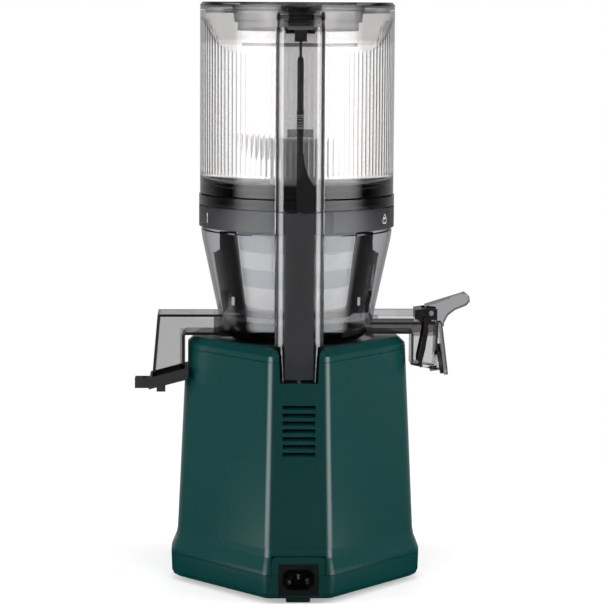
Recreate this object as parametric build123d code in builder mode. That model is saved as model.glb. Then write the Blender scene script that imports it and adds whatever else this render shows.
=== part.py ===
"""Cold press juicer: motor base, juicing drum with strainer and auger, and lidded hopper.

Frame: +Z up, front at -Y, back at +Y, origin on the drive axis at foot level. Millimetres.
"""

import os
from math import acos, cos, degrees, pi, radians, sin, sqrt, tan

from build123d import *

os.makedirs("parts", exist_ok=True)

# ---------------------------------------------------------------- driving dimensions
# sizes that the rest hangs on
HOPPER_R = 77.5
COLUMN_Y = HOPPER_R + 9.3  # back face of the rear column
THROUGH = 300.0  # depth of a cut that runs right through

# motor base, outer form
FOOT_H = 3.7  # feet stand this far below the bottom cover
BOTTOM_SEAM_Z = 22.5  # seam between bottom cover and housing
FLARE_TOP_Z = 42.0  # the foot flange blends into the wall here
TOP_SEAM_Z = 188.0  # seam between housing and top cover
BASE_TOP_Z = TOP_SEAM_Z + 9.7  # rim of the top cover
SEAM = 0.4  # visible gap at each seam
BASE_WALL = 2.6
SIDE_LOW = 95.2  # half width above the flange
SIDE_HIGH = SIDE_LOW - 6.8  # half width at the top seam
REAR_HIGH = COLUMN_Y + 1.8  # back face at the top seam
REAR_LOW = REAR_HIGH + 7.0  # and above the flange
FLAT_LOW = 24.5  # half width of the back face, low
FLAT_HIGH = FLAT_LOW - 1.9  # and high
FACET_Y_LOW = 15.0  # where the rear facet meets the side, low
FACET_Y_HIGH = FACET_Y_LOW - 8.0  # and high
FLANGE_OUT = 4.2  # how far the foot flange stands out
REAR_EDGE_R = 7.0  # rounding of the two rear edges
SIDE_EDGE_R = 16.0  # rounding where facet meets side
BEVEL = 5.6  # width of the top cover's bevelled shoulder
RECESS_X = SIDE_HIGH - 1.4  # flat beside the pulp outlet
RECESS_Z = TOP_SEAM_Z - 25.0  # foot of that flat

# notch for the drum's column
NOTCH_TOP_W = 31.6
NOTCH_FLOOR_W = 29.4
NOTCH_FLOOR_Z = BASE_TOP_Z - 26.1
NOTCH_DEPTH = 20.0
NOTCH_FLARE = 5.0  # rounded corners at the notch's mouth

# vents
VENT_COUNT = 7
VENT_PITCH = 6.1
VENT_TOP_Z = TOP_SEAM_Z - 33.4
VENT_HALF_W = 12.8
VENT_MOUTH = 4.2
VENT_SLIT = 1.7

# power inlet (three-pin, 10 A pattern)
INLET_W = 31.0
INLET_H = 24.8
INLET_Z = 19.0
INLET_DEPTH = 24.0
SOCKET_W = 24.4
SOCKET_H = 16.8
SOCKET_DEPTH = 17.0
PIN_SPACING = 14.0
EARTH_RISE = 4.0
PIN_W = 2.0
PIN_H = 4.0

# drive train
MODULE = 1.25
PINION_TEETH = 12
WHEEL_TEETH = 48
GEAR_BACKLASH = 0.22
MOTOR_R = 38.0
MOTOR_Z = 52.0
MOTOR_H = 66.0
MOTOR_SHAFT_R = 4.0
FAN_R = 30.0
FAN_BLADES = 7
OUTPUT_SHAFT_R = 7.0
HEX_FLATS = 12.0
FIT = 0.3  # free clearance between loose pieces
RUNNING = 0.05  # radial clearance of a running fit

# control knob
KNOB_Z = 96.0
KNOB_R = 19.0
KNOB_H = 15.0

# drive deck and drum
DECK_R = 62.7
DECK_T = 4.0
DRUM_FLOOR_Z = BASE_TOP_Z - 1.7
HEX_TOP_Z = DRUM_FLOOR_Z + 18.0
DRUM_WALL = 2.8
DRUM_FOOT_R = 46.0
DRUM_CORNER_R = 61.8
DRUM_CORNER_Z = DRUM_FLOOR_Z + 16.5
DRUM_SHOULDER_R = HOPPER_R - 1.9
DRUM_SHOULDER_Z = DRUM_FLOOR_Z + 81.0
DRUM_NECK_R = HOPPER_R - 0.9
RING_Z = DRUM_SHOULDER_Z + 10.2
RING_TOP_Z = RING_Z + 16.6
RING_R = HOPPER_R + 0.7
RIM_R = HOPPER_R - 3.0  # drum wall inside the locking ring
COLLAR_R = 14.0  # hub collar that rises from the drum floor
COLLAR_TOP_Z = DRUM_FLOOR_Z + 7.0

# rear column
COLUMN_HALF_W = 19.2
COLUMN_EDGE_R = 8.0
COLUMN_WALL = 2.2

# outlets
PULP_TOP_Z = DRUM_FLOOR_Z + 20.6
PULP_FLOOR_Z = PULP_TOP_Z - 14.6
PULP_HALF_W = 17.0
PULP_DROP_X = 89.4
PULP_END_TOP_X = PULP_DROP_X + 21.8
PULP_END_LOW_X = PULP_END_TOP_X + 5.0
PULP_LOW_Z = PULP_TOP_Z - 58.0
PULP_SLOPE = 0.28  # fall of the pulp mouth's rim per millimetre outwards
OUTLET_WALL = 2.2
JUICE_TOP_Z = DRUM_FLOOR_Z + 13.8
JUICE_FLOOR_Z = JUICE_TOP_Z - 9.4
JUICE_HALF_W = 12.0
JUICE_DROP_X = 92.4
JUICE_END_TOP_X = JUICE_DROP_X + 22.0
JUICE_END_LOW_X = JUICE_DROP_X + 20.9
JUICE_LOW_Z = JUICE_TOP_Z - 38.6
PIVOT_X = -JUICE_DROP_X - 16.0
PIVOT_Z = JUICE_TOP_Z + 7.4
PIVOT_R = 2.0
LEVER_HALF_W = 8.4
MOUTH_R = 7.2
MOUTH_X = -JUICE_DROP_X - 23.4
MOUTH_Z = JUICE_LOW_Z + 7.5
MOUTH_TILT = 7.2  # the mouth and the cap lean out by this angle
MOUTH_SEAL_R = 12.3
MOUTH_SEAL_T = 2.2
CAP_T = 3.0
CAP_HALF_W = 12.6
CAP_H = 43.0
CAP_DROP = 12.6  # from the middle of the mouth down to the plate's lower edge
CAP_CORNER_R = 5.0
CAP_GAP = 0.2  # between the closed plate and the mouth seal
CHEEK_T = 2.9

# strainer, wiper and auger
STRAINER_FOOT_R = 38.0
STRAINER_FOOT_Z = DRUM_FLOOR_Z + 7.6
STRAINER_TOP_R = STRAINER_FOOT_R + 11.6
STRAINER_TOP_Z = RING_TOP_Z - 2.0
STRAINER_WALL = 1.8
MESH_BANDS = (
    (STRAINER_FOOT_Z + 18.9, STRAINER_FOOT_Z + 35.9),
    (STRAINER_FOOT_Z + 50.4, STRAINER_FOOT_Z + 64.4),
)
MESH_WINDOWS = 12
WIPER_GAP = 0.8
WIPER_LOW_Z = STRAINER_FOOT_Z + 12.4
WIPER_STEP_Z = DRUM_SHOULDER_Z - 10.0
WIPER_TOP_Z = WIPER_STEP_Z + 14.5
WIPER_T = 3.6
AUGER_CORE_LOW_R = 15.0
AUGER_CORE_HIGH_R = 19.0
AUGER_NECK_R = 21.4
AUGER_TOP_Z = RING_TOP_Z + 52.2
AUGER_LOBES = 3
AUGER_TWIST = 300.0
BOSS_R = 10.6

# hopper and lid
HOPPER_WALL = 2.6
HOPPER_COLLAR_Z = RING_TOP_Z + 0.8
BOWL_FOOT_Z = HOPPER_COLLAR_Z + 7.9
BOWL_FLOOR_Z = BOWL_FOOT_Z + 9.5
BOWL_TOP_Z = BOWL_FLOOR_Z + 136.4
THROAT_R = 45.5
LID_Z = BOWL_TOP_Z + 0.4
LID_T = 6.2
LID_TOP_Z = LID_Z + LID_T
TRAY_R = HOPPER_R - 29.9
TRAY_Y = HOPPER_R - TRAY_R - 9.9
TRAY_Z = LID_TOP_Z - 22.6
TRAY_WALL = 2.0
TRAY_STEP_Z = LID_TOP_Z - 15.8  # the tray is wider above this height
TRAY_TOP_R = TRAY_R + 4.4
TRAY_STEP_R = TRAY_R + 2.4
HINGE_Y = HOPPER_R + 6.0
HINGE_Z = LID_Z - 5.3
COLUMN_TOP_Z = HINGE_Z - 7.5
HINGE_PIN_R = 1.6
CAM_OFFSET = 5.5
CAM_R = 4.5
EAR_X = 16.9
EAR_T = 2.4
KNUCKLE_HALF_W = 9.8
ROD_R = 2.5
ROD_Y = HOPPER_R + 4.0
ROD_TOP_Z = HINGE_Z - 30.0

# fasteners, feet and small base parts
SCREW_R = 1.9
SCREW_HEAD_R = 3.6
SCREW_BOSS_R = 5.6
SCREW_RING_R = 87.2
SCREW_ANGLES = (-12, -62, -118, -168)
SCREW_SPOTS = [(SCREW_RING_R * cos(radians(a)), SCREW_RING_R * sin(radians(a))) for a in SCREW_ANGLES]
FOOT_R = 7.0
REAR_FOOT_Y = 90.0
FOOT_SPOTS = [(50, 42), (-50, 42), (58, -52), (-58, -52)]
FLOOR_TOP_Z = FOOT_H + 2.8
BEZEL_R = 23.0
BEZEL_BACK_Y = 84.5
PLUNGER_R = 2.0
PANEL_T = 3.0
PANEL_HALF_W = INLET_W / 2 + 5.2
PANEL_TOP_Z = INLET_Z + INLET_H / 2 + 5.2
PIN_Z = INLET_Z - 2.0
BOARD_X = 62.0
BOARD_T = 1.6
BOARD_HALF_W = 38.0
BOARD_TOP_Z = KNOB_Z
SEAL_R = 10.0
SEAL_DEPTH = 6.0

# motor and gearbox details
CAN_WALL = 2.4
END_BELL_T = 4.0
BEARING_R = 9.0
BEARING_H = 6.0
BEARING_BOSS_R = 12.0
STATOR_Z = MOTOR_Z + 10.0
STATOR_H = 40.0
STATOR_BORE_R = 22.2
SLOT_COUNT = 6
SLOT_W = 5.0
SLOT_IN_R = 24.5
SLOT_OUT_R = 32.0
WINDING_RISE = 5.0
ROTOR_R = 21.5
FAN_Z = MOTOR_Z - 14.0
FAN_H = 10.0
FAN_HUB_R = 8.0
FAN_T = 1.8
SHAFT_LOW_Z = FAN_Z - 1.0
IDLER_Y = -MODULE * (PINION_TEETH + WHEEL_TEETH) / 2
IDLER_R = 3.0
CASE_Z = MOTOR_Z + MOTOR_H
CASE_R = 34.0
CASE_IDLER_R = 35.5
CASE_WALL = 2.5
CASE_TOP_Z = CASE_Z + 40.0
COVER_T = 3.0
LOW_MESH_Z = CASE_Z + 6.0
LOW_MESH_H = 8.0
HIGH_MESH_Z = LOW_MESH_Z + 12.5
HIGH_MESH_H = 8.5
OUTPUT_BEARING_R = 11.0
OUTPUT_BOSS_R = 13.5
OUTPUT_BOSS_Z = CASE_TOP_Z - 10.0
OUTPUT_BOSS_H = 20.0
CASE_SCREW_SPOTS = [(37.8, -6), (-37.8, -6), (37.8, -30), (-37.8, -30)]
CASE_SCREW_R = 1.5
CASE_EAR_R = 4.6
POST_R = 4.5
DAMPER_R = 6.0
POST_X = 22.0
POST_REACH = DECK_R - DAMPER_R - 5.71  # keeps the front dampers inside the deck's ledge
POST_Y = sqrt(POST_REACH**2 - POST_X**2)
POST_SPOTS = [(POST_X + 2, 12), (-POST_X - 2, 12), (POST_X, -POST_Y), (-POST_X, -POST_Y)]
DAMPER_H = 4.0

# control knob details
BEZEL_FRONT_Y = 93.6
BEZEL_FLANGE_R = 26.0
SPINDLE_R = 3.0
SWITCH_HALF = 13.0
SWITCH_DEPTH = 22.0
GRIP_T = 8.0

# interlock details
LEVEL_GAP = 0.4  # gap between one interlock rod's end and the next
LOWER_ROD_R = 1.8
PLUNGER_TOP_Z = NOTCH_FLOOR_Z + 3.2
SWITCH_Z = NOTCH_FLOOR_Z - 14.6
ROD_RUN = HINGE_Z - HOPPER_COLLAR_Z  # the upper rod's parts share this height
FLARE_Z = HOPPER_COLLAR_Z + 0.1236 * ROD_RUN  # the rod's foot is widest up to here
ROD_FOOT_TOP_Z = HOPPER_COLLAR_Z + 0.305 * ROD_RUN
WEB_Z = HOPPER_COLLAR_Z + 0.3855 * ROD_RUN
WEB_H = 6.0
WEB_HALF_W = 10.0
ROD_FLANGE_Z = WEB_Z + 18.2
ROD_FLANGE_R = 4.6
HEAD_HALF_W = 4.7
HEAD_Z = HINGE_Z - 18.5
HEAD_GAP = 0.35
STEM_R = 1.1
FOOT_FLARE_X = -11.6

# hopper details
THROAT_Z = HOPPER_COLLAR_Z
NOTCH_RIM_HALF_W = 11.4
NOTCH_RIM_Z = BOWL_TOP_Z - 15.4
HOOP_Z = BOWL_TOP_Z - 27.4
HOOP_H = 2.6
HOOP_T = 1.4
HOOP_HALF_ANGLE = 36.0
SKIRT_R = HOPPER_R - 4.0
SKIRT_T = 2.0
SKIRT_DEPTH = 2.5
BRIDGE_HALF_W = 15.3
BRIDGE_Y = COLUMN_Y + 2.2
KNUCKLE_R = 5.0
EAR_R = 3.9
PIN_HALF_W = 18.6


def finish(builder, label):
    """Label a finished piece and write its STEP file."""
    builder.part.label = label
    export_step(builder.part, f"parts/{label}.step")


def at(z):
    """Horizontal plane at height z."""
    return Plane.XY.offset(z)


def between(z, z_low, z_high, low, high):
    """Value at height z on a straight line from low to high."""
    return low + (high - low) * (z - z_low) / (z_high - z_low)


def disc(x, y, z, radius, height, mode=Mode.ADD):
    """Upright cylinder standing on (x, y, z)."""
    with Locations((x, y, z)):
        Cylinder(radius, height, align=(Align.CENTER, Align.CENTER, Align.MIN), mode=mode)


def block(x, y, z, mode=Mode.ADD):
    """Box between three (low, high) pairs."""
    with Locations(((x[0] + x[1]) / 2, (y[0] + y[1]) / 2, (z[0] + z[1]) / 2)):
        Box(x[1] - x[0], y[1] - y[0], z[1] - z[0], mode=mode)


def rod_y(x, z, y_low, y_high, radius, mode=Mode.ADD):
    """Cylinder along Y between y_low and y_high."""
    with Locations((x, (y_low + y_high) / 2, z)):
        Cylinder(radius, y_high - y_low, rotation=(90, 0, 0), mode=mode)


def rod_x(y, z, half_length, radius, mode=Mode.ADD):
    """Cylinder along X, the same to both sides."""
    with Locations((0, y, z)):
        Cylinder(radius, 2 * half_length, rotation=(0, 90, 0), mode=mode)


def turned(points, mode=Mode.ADD):
    """Solid of revolution about the drive axis from (radius, height) points."""
    with BuildSketch(Plane.XZ) as section:
        with BuildLine():
            Polyline(*points, close=True)
        make_face()
    revolve(section.sketch, axis=Axis.Z, mode=mode)


def slab(points, y_low, y_high, mode=Mode.ADD):
    """Outline of (x, z) points extruded from y_low to y_high."""
    with BuildSketch(Plane.XZ.offset(-y_high)) as outline:
        with BuildLine():
            Polyline(*points, close=True)
        make_face()
    extrude(outline.sketch, amount=y_high - y_low, mode=mode)


# ================================================================ motor base shells
def rear_y(z):
    """Y of the base's back face at height z, without the foot flange."""
    return between(z, FLARE_TOP_Z, TOP_SEAM_Z, REAR_LOW, REAR_HIGH)


def base_face(z, inset=0.0, flange=0.0):
    """The base's plan at height z: semicircular front, flat sides, two facets and a flat back."""
    level = max(z, BOTTOM_SEAM_Z)
    side = between(level, FLARE_TOP_Z, TOP_SEAM_Z, SIDE_LOW, SIDE_HIGH) + flange - inset
    rear = rear_y(level) + flange - inset
    flat = between(level, FLARE_TOP_Z, TOP_SEAM_Z, FLAT_LOW, FLAT_HIGH) + 0.4 * (flange - inset)
    facet_y = between(level, FLARE_TOP_Z, TOP_SEAM_Z, FACET_Y_LOW, FACET_Y_HIGH)
    with BuildSketch(at(z)) as plan:
        with BuildLine():
            Polyline((-side, 0), (-side, facet_y), (-flat, rear), (flat, rear), (side, facet_y), (side, 0))
            ThreePointArc((side, 0), (0, -side), (-side, 0))
        make_face()
        corners = plan.vertices()
        fillet(corners.group_by(Axis.Y)[-1], max(REAR_EDGE_R - inset, 1.0))
        fillet([v for v in plan.vertices() if abs(v.Y - facet_y) < 0.01], max(SIDE_EDGE_R - inset, 2.0))
    return plan.sketch.faces()[0]


def base_loft(levels, inset=0.0):
    """Faces of the base's plan at (height, flange) levels, ready to be lofted."""
    return [base_face(z, inset, flange) for z, flange in levels]


HOUSING_LEVELS = (
    (BOTTOM_SEAM_Z + SEAM, FLANGE_OUT),
    (BOTTOM_SEAM_Z + 3.5, FLANGE_OUT),
    (BOTTOM_SEAM_Z + 8.5, 0.62 * FLANGE_OUT),
    (BOTTOM_SEAM_Z + 13.5, 0.18 * FLANGE_OUT),
    (FLARE_TOP_Z, 0.0),
    (TOP_SEAM_Z - SEAM, 0.0),
)
HOLLOW_LEVELS = (
    (BOTTOM_SEAM_Z - 1.0, 0.0),
    (TOP_SEAM_Z - 12.0, 0.0),
)
SHELF_Z = TOP_SEAM_Z - 12.0  # the housing's inner lip starts here
SHELF_W = 8.0  # and reaches this far in
COVER_LEVELS = (
    (TOP_SEAM_Z, 0.0),
    (BASE_TOP_Z - 5.3, 0.2),
    (BASE_TOP_Z - 0.9, BEVEL - 0.9),
    (BASE_TOP_Z, BEVEL + 0.8),
)
COVER_PLATE_Z = BASE_TOP_Z - 2.6
COVER_HOLLOW = ((TOP_SEAM_Z - 1, BASE_WALL), (COVER_PLATE_Z, BEVEL + 1.2))
BOTTOM_LEVELS = (
    (FOOT_H, FLANGE_OUT - 4.4),
    (FOOT_H + 1.3, FLANGE_OUT - 1.9),
    (FOOT_H + 4.3, FLANGE_OUT - 0.5),
    (BOTTOM_SEAM_Z, FLANGE_OUT),
)
INLET_FACE_Y = rear_y(BOTTOM_SEAM_Z) + FLANGE_OUT - 0.6
DECK_TOP_Z = DRUM_FLOOR_Z - FIT
LEDGE_T = 3.0
LEDGE_Z = DECK_TOP_Z - DECK_T - LEDGE_T


def notch_profile(grow=0.0):
    """Notch in the XZ plane: tapered slot with a flared mouth, enlarged by grow."""
    low = NOTCH_FLOOR_W / 2 + grow
    high = NOTCH_TOP_W / 2 + grow
    floor = NOTCH_FLOOR_Z - grow
    mouth = BASE_TOP_Z - NOTCH_FLARE
    with BuildSketch(Plane.XZ.offset(-REAR_LOW - FLANGE_OUT)) as slot:
        with BuildLine():
            Polyline((-high, mouth), (-low, floor), (low, floor), (high, mouth))
            for side in (1, -1):
                ThreePointArc(
                    (side * high, mouth),
                    (side * (high + 0.3 * NOTCH_FLARE), BASE_TOP_Z - 0.3 * NOTCH_FLARE),
                    (side * (high + NOTCH_FLARE), BASE_TOP_Z),
                )
            Polyline(
                (high + NOTCH_FLARE, BASE_TOP_Z),
                (high + NOTCH_FLARE, BASE_TOP_Z + 2),
                (-high - NOTCH_FLARE, BASE_TOP_Z + 2),
                (-high - NOTCH_FLARE, BASE_TOP_Z),
            )
        make_face()
    return slot.sketch


NOTCH_REACH = REAR_LOW + FLANGE_OUT - (REAR_HIGH - NOTCH_DEPTH)

with BuildPart() as base_housing:
    loft(base_loft(HOUSING_LEVELS), ruled=True)
    loft(base_loft(HOLLOW_LEVELS, BASE_WALL), ruled=True, mode=Mode.SUBTRACT)
    loft([base_face(z, BASE_WALL + SHELF_W) for z in (SHELF_Z - 1, TOP_SEAM_Z + 1)], mode=Mode.SUBTRACT)
    # pocket that lines the notch, then the notch itself
    with BuildSketch(Plane.XZ.offset(-REAR_HIGH + 1.0)) as notch_box:
        with Locations((0, (NOTCH_FLOOR_Z - BASE_WALL + TOP_SEAM_Z - SEAM) / 2)):
            Rectangle(NOTCH_TOP_W + 2 * BASE_WALL, TOP_SEAM_Z - SEAM - NOTCH_FLOOR_Z + BASE_WALL)
    extrude(amount=NOTCH_DEPTH + BASE_WALL - 1.0)
    extrude(notch_profile(), amount=NOTCH_REACH, mode=Mode.SUBTRACT)
    # flat beside the pulp outlet
    with BuildSketch(at(RECESS_Z)):
        with Locations((RECESS_X + 10, 0)):
            Rectangle(20, 120)
    extrude(amount=TOP_SEAM_Z - RECESS_Z, mode=Mode.SUBTRACT)
    # louvres: each slot's floor slopes up to a narrow slit
    for row in range(VENT_COUNT):
        top = VENT_TOP_Z - row * VENT_PITCH
        wall_y = rear_y(top)
        with BuildSketch(Plane.YZ.offset(-VENT_HALF_W)):
            with BuildLine():
                Polyline(
                    (wall_y + 2, top),
                    (wall_y - BASE_WALL - 2, top),
                    (wall_y - BASE_WALL - 2, top - VENT_SLIT),
                    (wall_y - BASE_WALL, top - VENT_SLIT),
                    (wall_y + 0.2, top - VENT_MOUTH),
                    (wall_y + 2, top - VENT_MOUTH),
                    close=True,
                )
            make_face()
        extrude(amount=2 * VENT_HALF_W, mode=Mode.SUBTRACT)
    # doorway for the bottom cover's raised inlet panel
    with BuildSketch(Plane.XZ.offset(-REAR_LOW - FLANGE_OUT - 1)):
        with Locations((0, (BOTTOM_SEAM_Z + PANEL_TOP_Z + SEAM) / 2)):
            Rectangle(2 * (PANEL_HALF_W + SEAM), PANEL_TOP_Z + SEAM - BOTTOM_SEAM_Z)
    extrude(amount=30, mode=Mode.SUBTRACT)
    # seat for the knob's bezel
    with BuildSketch(Plane.XZ.offset(BEZEL_BACK_Y)):
        with Locations((0, KNOB_Z)):
            Circle(BEZEL_R + SEAM / 2)
    extrude(amount=20, mode=Mode.SUBTRACT)
    # interlock plunger's hole through the notch floor
    with BuildSketch(at(NOTCH_FLOOR_Z + 1)):
        with Locations((0, ROD_Y)):
            Circle(PLUNGER_R + RUNNING)
    extrude(amount=-BASE_WALL - 3, mode=Mode.SUBTRACT)
    # bosses that take the bottom cover's screws
    with BuildSketch(at(BOTTOM_SEAM_Z + SEAM)):
        with Locations(*SCREW_SPOTS):
            Circle(SCREW_BOSS_R)
    extrude(amount=22)
    with BuildSketch(at(BOTTOM_SEAM_Z)):
        with Locations(*SCREW_SPOTS):
            Circle(SCREW_R + RUNNING)
    extrude(amount=16, mode=Mode.SUBTRACT)
finish(base_housing, "base_housing")

with BuildPart() as top_cover:
    loft([base_face(z, inset) for z, inset in COVER_LEVELS], ruled=True)
    loft([base_face(z, inset) for z, inset in COVER_HOLLOW], ruled=True, mode=Mode.SUBTRACT)
    # wall round the deck's opening, with a ledge under the deck
    with BuildSketch(at(LEDGE_Z)):
        Circle(DECK_R + FIT + BASE_WALL)
    extrude(amount=BASE_TOP_Z - LEDGE_Z)
    with BuildSketch(at(LEDGE_Z + LEDGE_T)):
        Circle(DECK_R + FIT)
    extrude(amount=20, mode=Mode.SUBTRACT)
    with BuildSketch(at(LEDGE_Z - 1)):
        Circle(DECK_R - 4.0)
    extrude(amount=20, mode=Mode.SUBTRACT)
    # pocket round the notch
    with BuildSketch(Plane.XZ.offset(-REAR_HIGH + BEVEL)):
        with Locations((0, (TOP_SEAM_Z + COVER_PLATE_Z) / 2)):
            Rectangle(NOTCH_TOP_W + 2 * NOTCH_FLARE + 2 * BASE_WALL, COVER_PLATE_Z - TOP_SEAM_Z)
    extrude(amount=NOTCH_DEPTH - BEVEL + BASE_WALL - 0.4)
    extrude(notch_profile(), amount=NOTCH_REACH, mode=Mode.SUBTRACT)
    with BuildSketch(at(TOP_SEAM_Z - 1)):
        with Locations((RECESS_X + 10, 0)):
            Rectangle(20, 120)
    extrude(amount=20, mode=Mode.SUBTRACT)
finish(top_cover, "top_cover")

with BuildPart() as bottom_cover:
    loft([base_face(z, 0, flange) for z, flange in BOTTOM_LEVELS], ruled=True)
    loft([base_face(z, BASE_WALL, FLANGE_OUT) for z in (FLOOR_TOP_Z, BOTTOM_SEAM_Z + 1)], mode=Mode.SUBTRACT)
    # raised panel round the power inlet
    with BuildSketch(Plane.XZ.offset(-INLET_FACE_Y)):
        with Locations((0, (FLOOR_TOP_Z + PANEL_TOP_Z) / 2)):
            RectangleRounded(2 * PANEL_HALF_W, PANEL_TOP_Z - FLOOR_TOP_Z, 3.0)
    extrude(amount=PANEL_T)
    with BuildSketch(Plane.XZ.offset(-INLET_FACE_Y - 2)):
        with Locations((0, INLET_Z)):
            Rectangle(INLET_W + SEAM, INLET_H + SEAM)
    extrude(amount=PANEL_T + 4, mode=Mode.SUBTRACT)
    # screw posts
    with BuildSketch(at(FLOOR_TOP_Z - 0.5)):
        with Locations(*SCREW_SPOTS):
            Circle(SCREW_BOSS_R)
    extrude(amount=BOTTOM_SEAM_Z - FLOOR_TOP_Z + 0.5)
    with BuildSketch(at(0)):
        with Locations(*SCREW_SPOTS):
            Circle(SCREW_R + RUNNING)
    extrude(amount=40, mode=Mode.SUBTRACT)
    with BuildSketch(at(0)):
        with Locations(*SCREW_SPOTS):
            Circle(SCREW_HEAD_R + RUNNING)
    extrude(amount=FOOT_H + 10, mode=Mode.SUBTRACT)
    # slotted supports for the control board
    for board_y in (-BOARD_HALF_W + 6, BOARD_HALF_W - 6):
        with BuildSketch(at(FLOOR_TOP_Z - 0.5)):
            with Locations((BOARD_X, board_y)):
                Rectangle(8, 8)
                Rectangle(BOARD_T + 2 * RUNNING, 9, mode=Mode.SUBTRACT)
        extrude(amount=10)
finish(bottom_cover, "bottom_cover")

with BuildPart() as rubber_feet:
    with BuildSketch(at(0)):
        with Locations((0, REAR_FOOT_Y)):
            RectangleRounded(19.0, 9.0, 2.0)
        with Locations(*FOOT_SPOTS):
            Circle(FOOT_R)
    extrude(amount=FOOT_H)
finish(rubber_feet, "rubber_feet")

with BuildPart() as cover_screws:
    with BuildSketch(at(FOOT_H + 8)):
        with Locations(*SCREW_SPOTS):
            Circle(SCREW_HEAD_R - RUNNING)
    extrude(amount=2.0)
    with BuildSketch(at(FOOT_H + 9)):
        with Locations(*SCREW_SPOTS):
            Circle(SCREW_R - RUNNING)
    extrude(amount=BOTTOM_SEAM_Z + 12 - FOOT_H - 9)
finish(cover_screws, "cover_screws")

with BuildPart() as power_inlet:
    with BuildSketch(Plane.XZ.offset(-INLET_FACE_Y)):
        with Locations((0, INLET_Z)):
            Rectangle(INLET_W, INLET_H)
    extrude(amount=PANEL_T)
    with BuildSketch(Plane.XZ.offset(-INLET_FACE_Y + 1)):
        with Locations((0, INLET_Z)):
            Rectangle(INLET_W - 3, INLET_H - 3)
    extrude(amount=INLET_DEPTH - 1)
    # socket with its two chamfered corners
    with BuildSketch(Plane.XZ.offset(-INLET_FACE_Y - 1)) as socket:
        with Locations((0, INLET_Z)):
            Rectangle(SOCKET_W, SOCKET_H)
        chamfer(socket.vertices().group_by(Axis.Z)[-1], 4.0)
    extrude(amount=SOCKET_DEPTH + 1, mode=Mode.SUBTRACT)
finish(power_inlet, "power_inlet")

with BuildPart() as inlet_pins:
    with BuildSketch(Plane.XZ.offset(-INLET_FACE_Y + 2.5)):
        with Locations((-PIN_SPACING / 2, PIN_Z), (PIN_SPACING / 2, PIN_Z), (0, PIN_Z + EARTH_RISE)):
            Rectangle(PIN_W, PIN_H)
    extrude(amount=SOCKET_DEPTH - 2.5)
finish(inlet_pins, "inlet_pins")

with BuildPart() as drive_deck:
    with BuildSketch(at(DECK_TOP_Z - DECK_T)):
        Circle(DECK_R)
        Circle(SEAL_R, mode=Mode.SUBTRACT)
    extrude(amount=DECK_T)
    with BuildSketch(at(DECK_TOP_Z - DECK_T - SEAL_DEPTH)):
        Circle(SEAL_R + 3.0)
        Circle(SEAL_R, mode=Mode.SUBTRACT)
    extrude(amount=SEAL_DEPTH + 0.5)
    # drip groove
    with BuildSketch(at(DECK_TOP_Z)):
        Circle(30.0)
        Circle(26.0, mode=Mode.SUBTRACT)
    extrude(amount=-1.2, mode=Mode.SUBTRACT)
finish(drive_deck, "drive_deck")

with BuildPart() as shaft_seal:
    with BuildSketch(at(DECK_TOP_Z - DECK_T - SEAL_DEPTH)):
        Circle(SEAL_R - RUNNING)
        Circle(OUTPUT_SHAFT_R + 2 * RUNNING, mode=Mode.SUBTRACT)
    extrude(amount=SEAL_DEPTH + DECK_T - 1.0)
finish(shaft_seal, "shaft_seal")


# ================================================================ motor
CAN_INNER_R = MOTOR_R - CAN_WALL
CAN_TOP_Z = MOTOR_Z + MOTOR_H
CAN_Z = MOTOR_Z + END_BELL_T

with BuildPart() as motor_end_bell:
    disc(0, 0, MOTOR_Z, MOTOR_R, END_BELL_T)
    disc(0, 0, MOTOR_Z, BEARING_BOSS_R, BEARING_H)
    disc(0, 0, MOTOR_Z - 1, BEARING_R + RUNNING, BEARING_H + 2, mode=Mode.SUBTRACT)
    for step in range(SLOT_COUNT):
        turn = radians(step * 360 / SLOT_COUNT)
        disc(24 * cos(turn), 24 * sin(turn), MOTOR_Z - 1, 5.0, 10, mode=Mode.SUBTRACT)
finish(motor_end_bell, "motor_end_bell")

with BuildPart() as motor_can:
    disc(0, 0, CAN_Z, MOTOR_R, CAN_TOP_Z - CAN_Z)
    disc(0, 0, CAN_Z - 1, CAN_INNER_R, CAN_TOP_Z - CAN_Z - 2, mode=Mode.SUBTRACT)
    disc(0, 0, CAN_TOP_Z - BEARING_H, BEARING_BOSS_R, BEARING_H)
    disc(0, 0, CAN_TOP_Z - BEARING_H - 1, BEARING_R + RUNNING, BEARING_H + 2, mode=Mode.SUBTRACT)
finish(motor_can, "motor_can")

with BuildPart() as motor_bearings:
    for level in (MOTOR_Z, CAN_TOP_Z - BEARING_H):
        disc(0, 0, level, BEARING_R, BEARING_H)
    disc(0, 0, MOTOR_Z - 1, MOTOR_SHAFT_R + RUNNING, MOTOR_H + 2, mode=Mode.SUBTRACT)
finish(motor_bearings, "motor_bearings")

with BuildPart() as stator_core:
    disc(0, 0, STATOR_Z, CAN_INNER_R - RUNNING, STATOR_H)
    disc(0, 0, STATOR_Z - 1, STATOR_BORE_R, STATOR_H + 2, mode=Mode.SUBTRACT)
    with BuildSketch(at(STATOR_Z - 1)):
        with PolarLocations((SLOT_IN_R + SLOT_OUT_R) / 2, SLOT_COUNT):
            Rectangle(SLOT_OUT_R - SLOT_IN_R, SLOT_W)
    extrude(amount=STATOR_H + 2, mode=Mode.SUBTRACT)
finish(stator_core, "stator_core")

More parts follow.
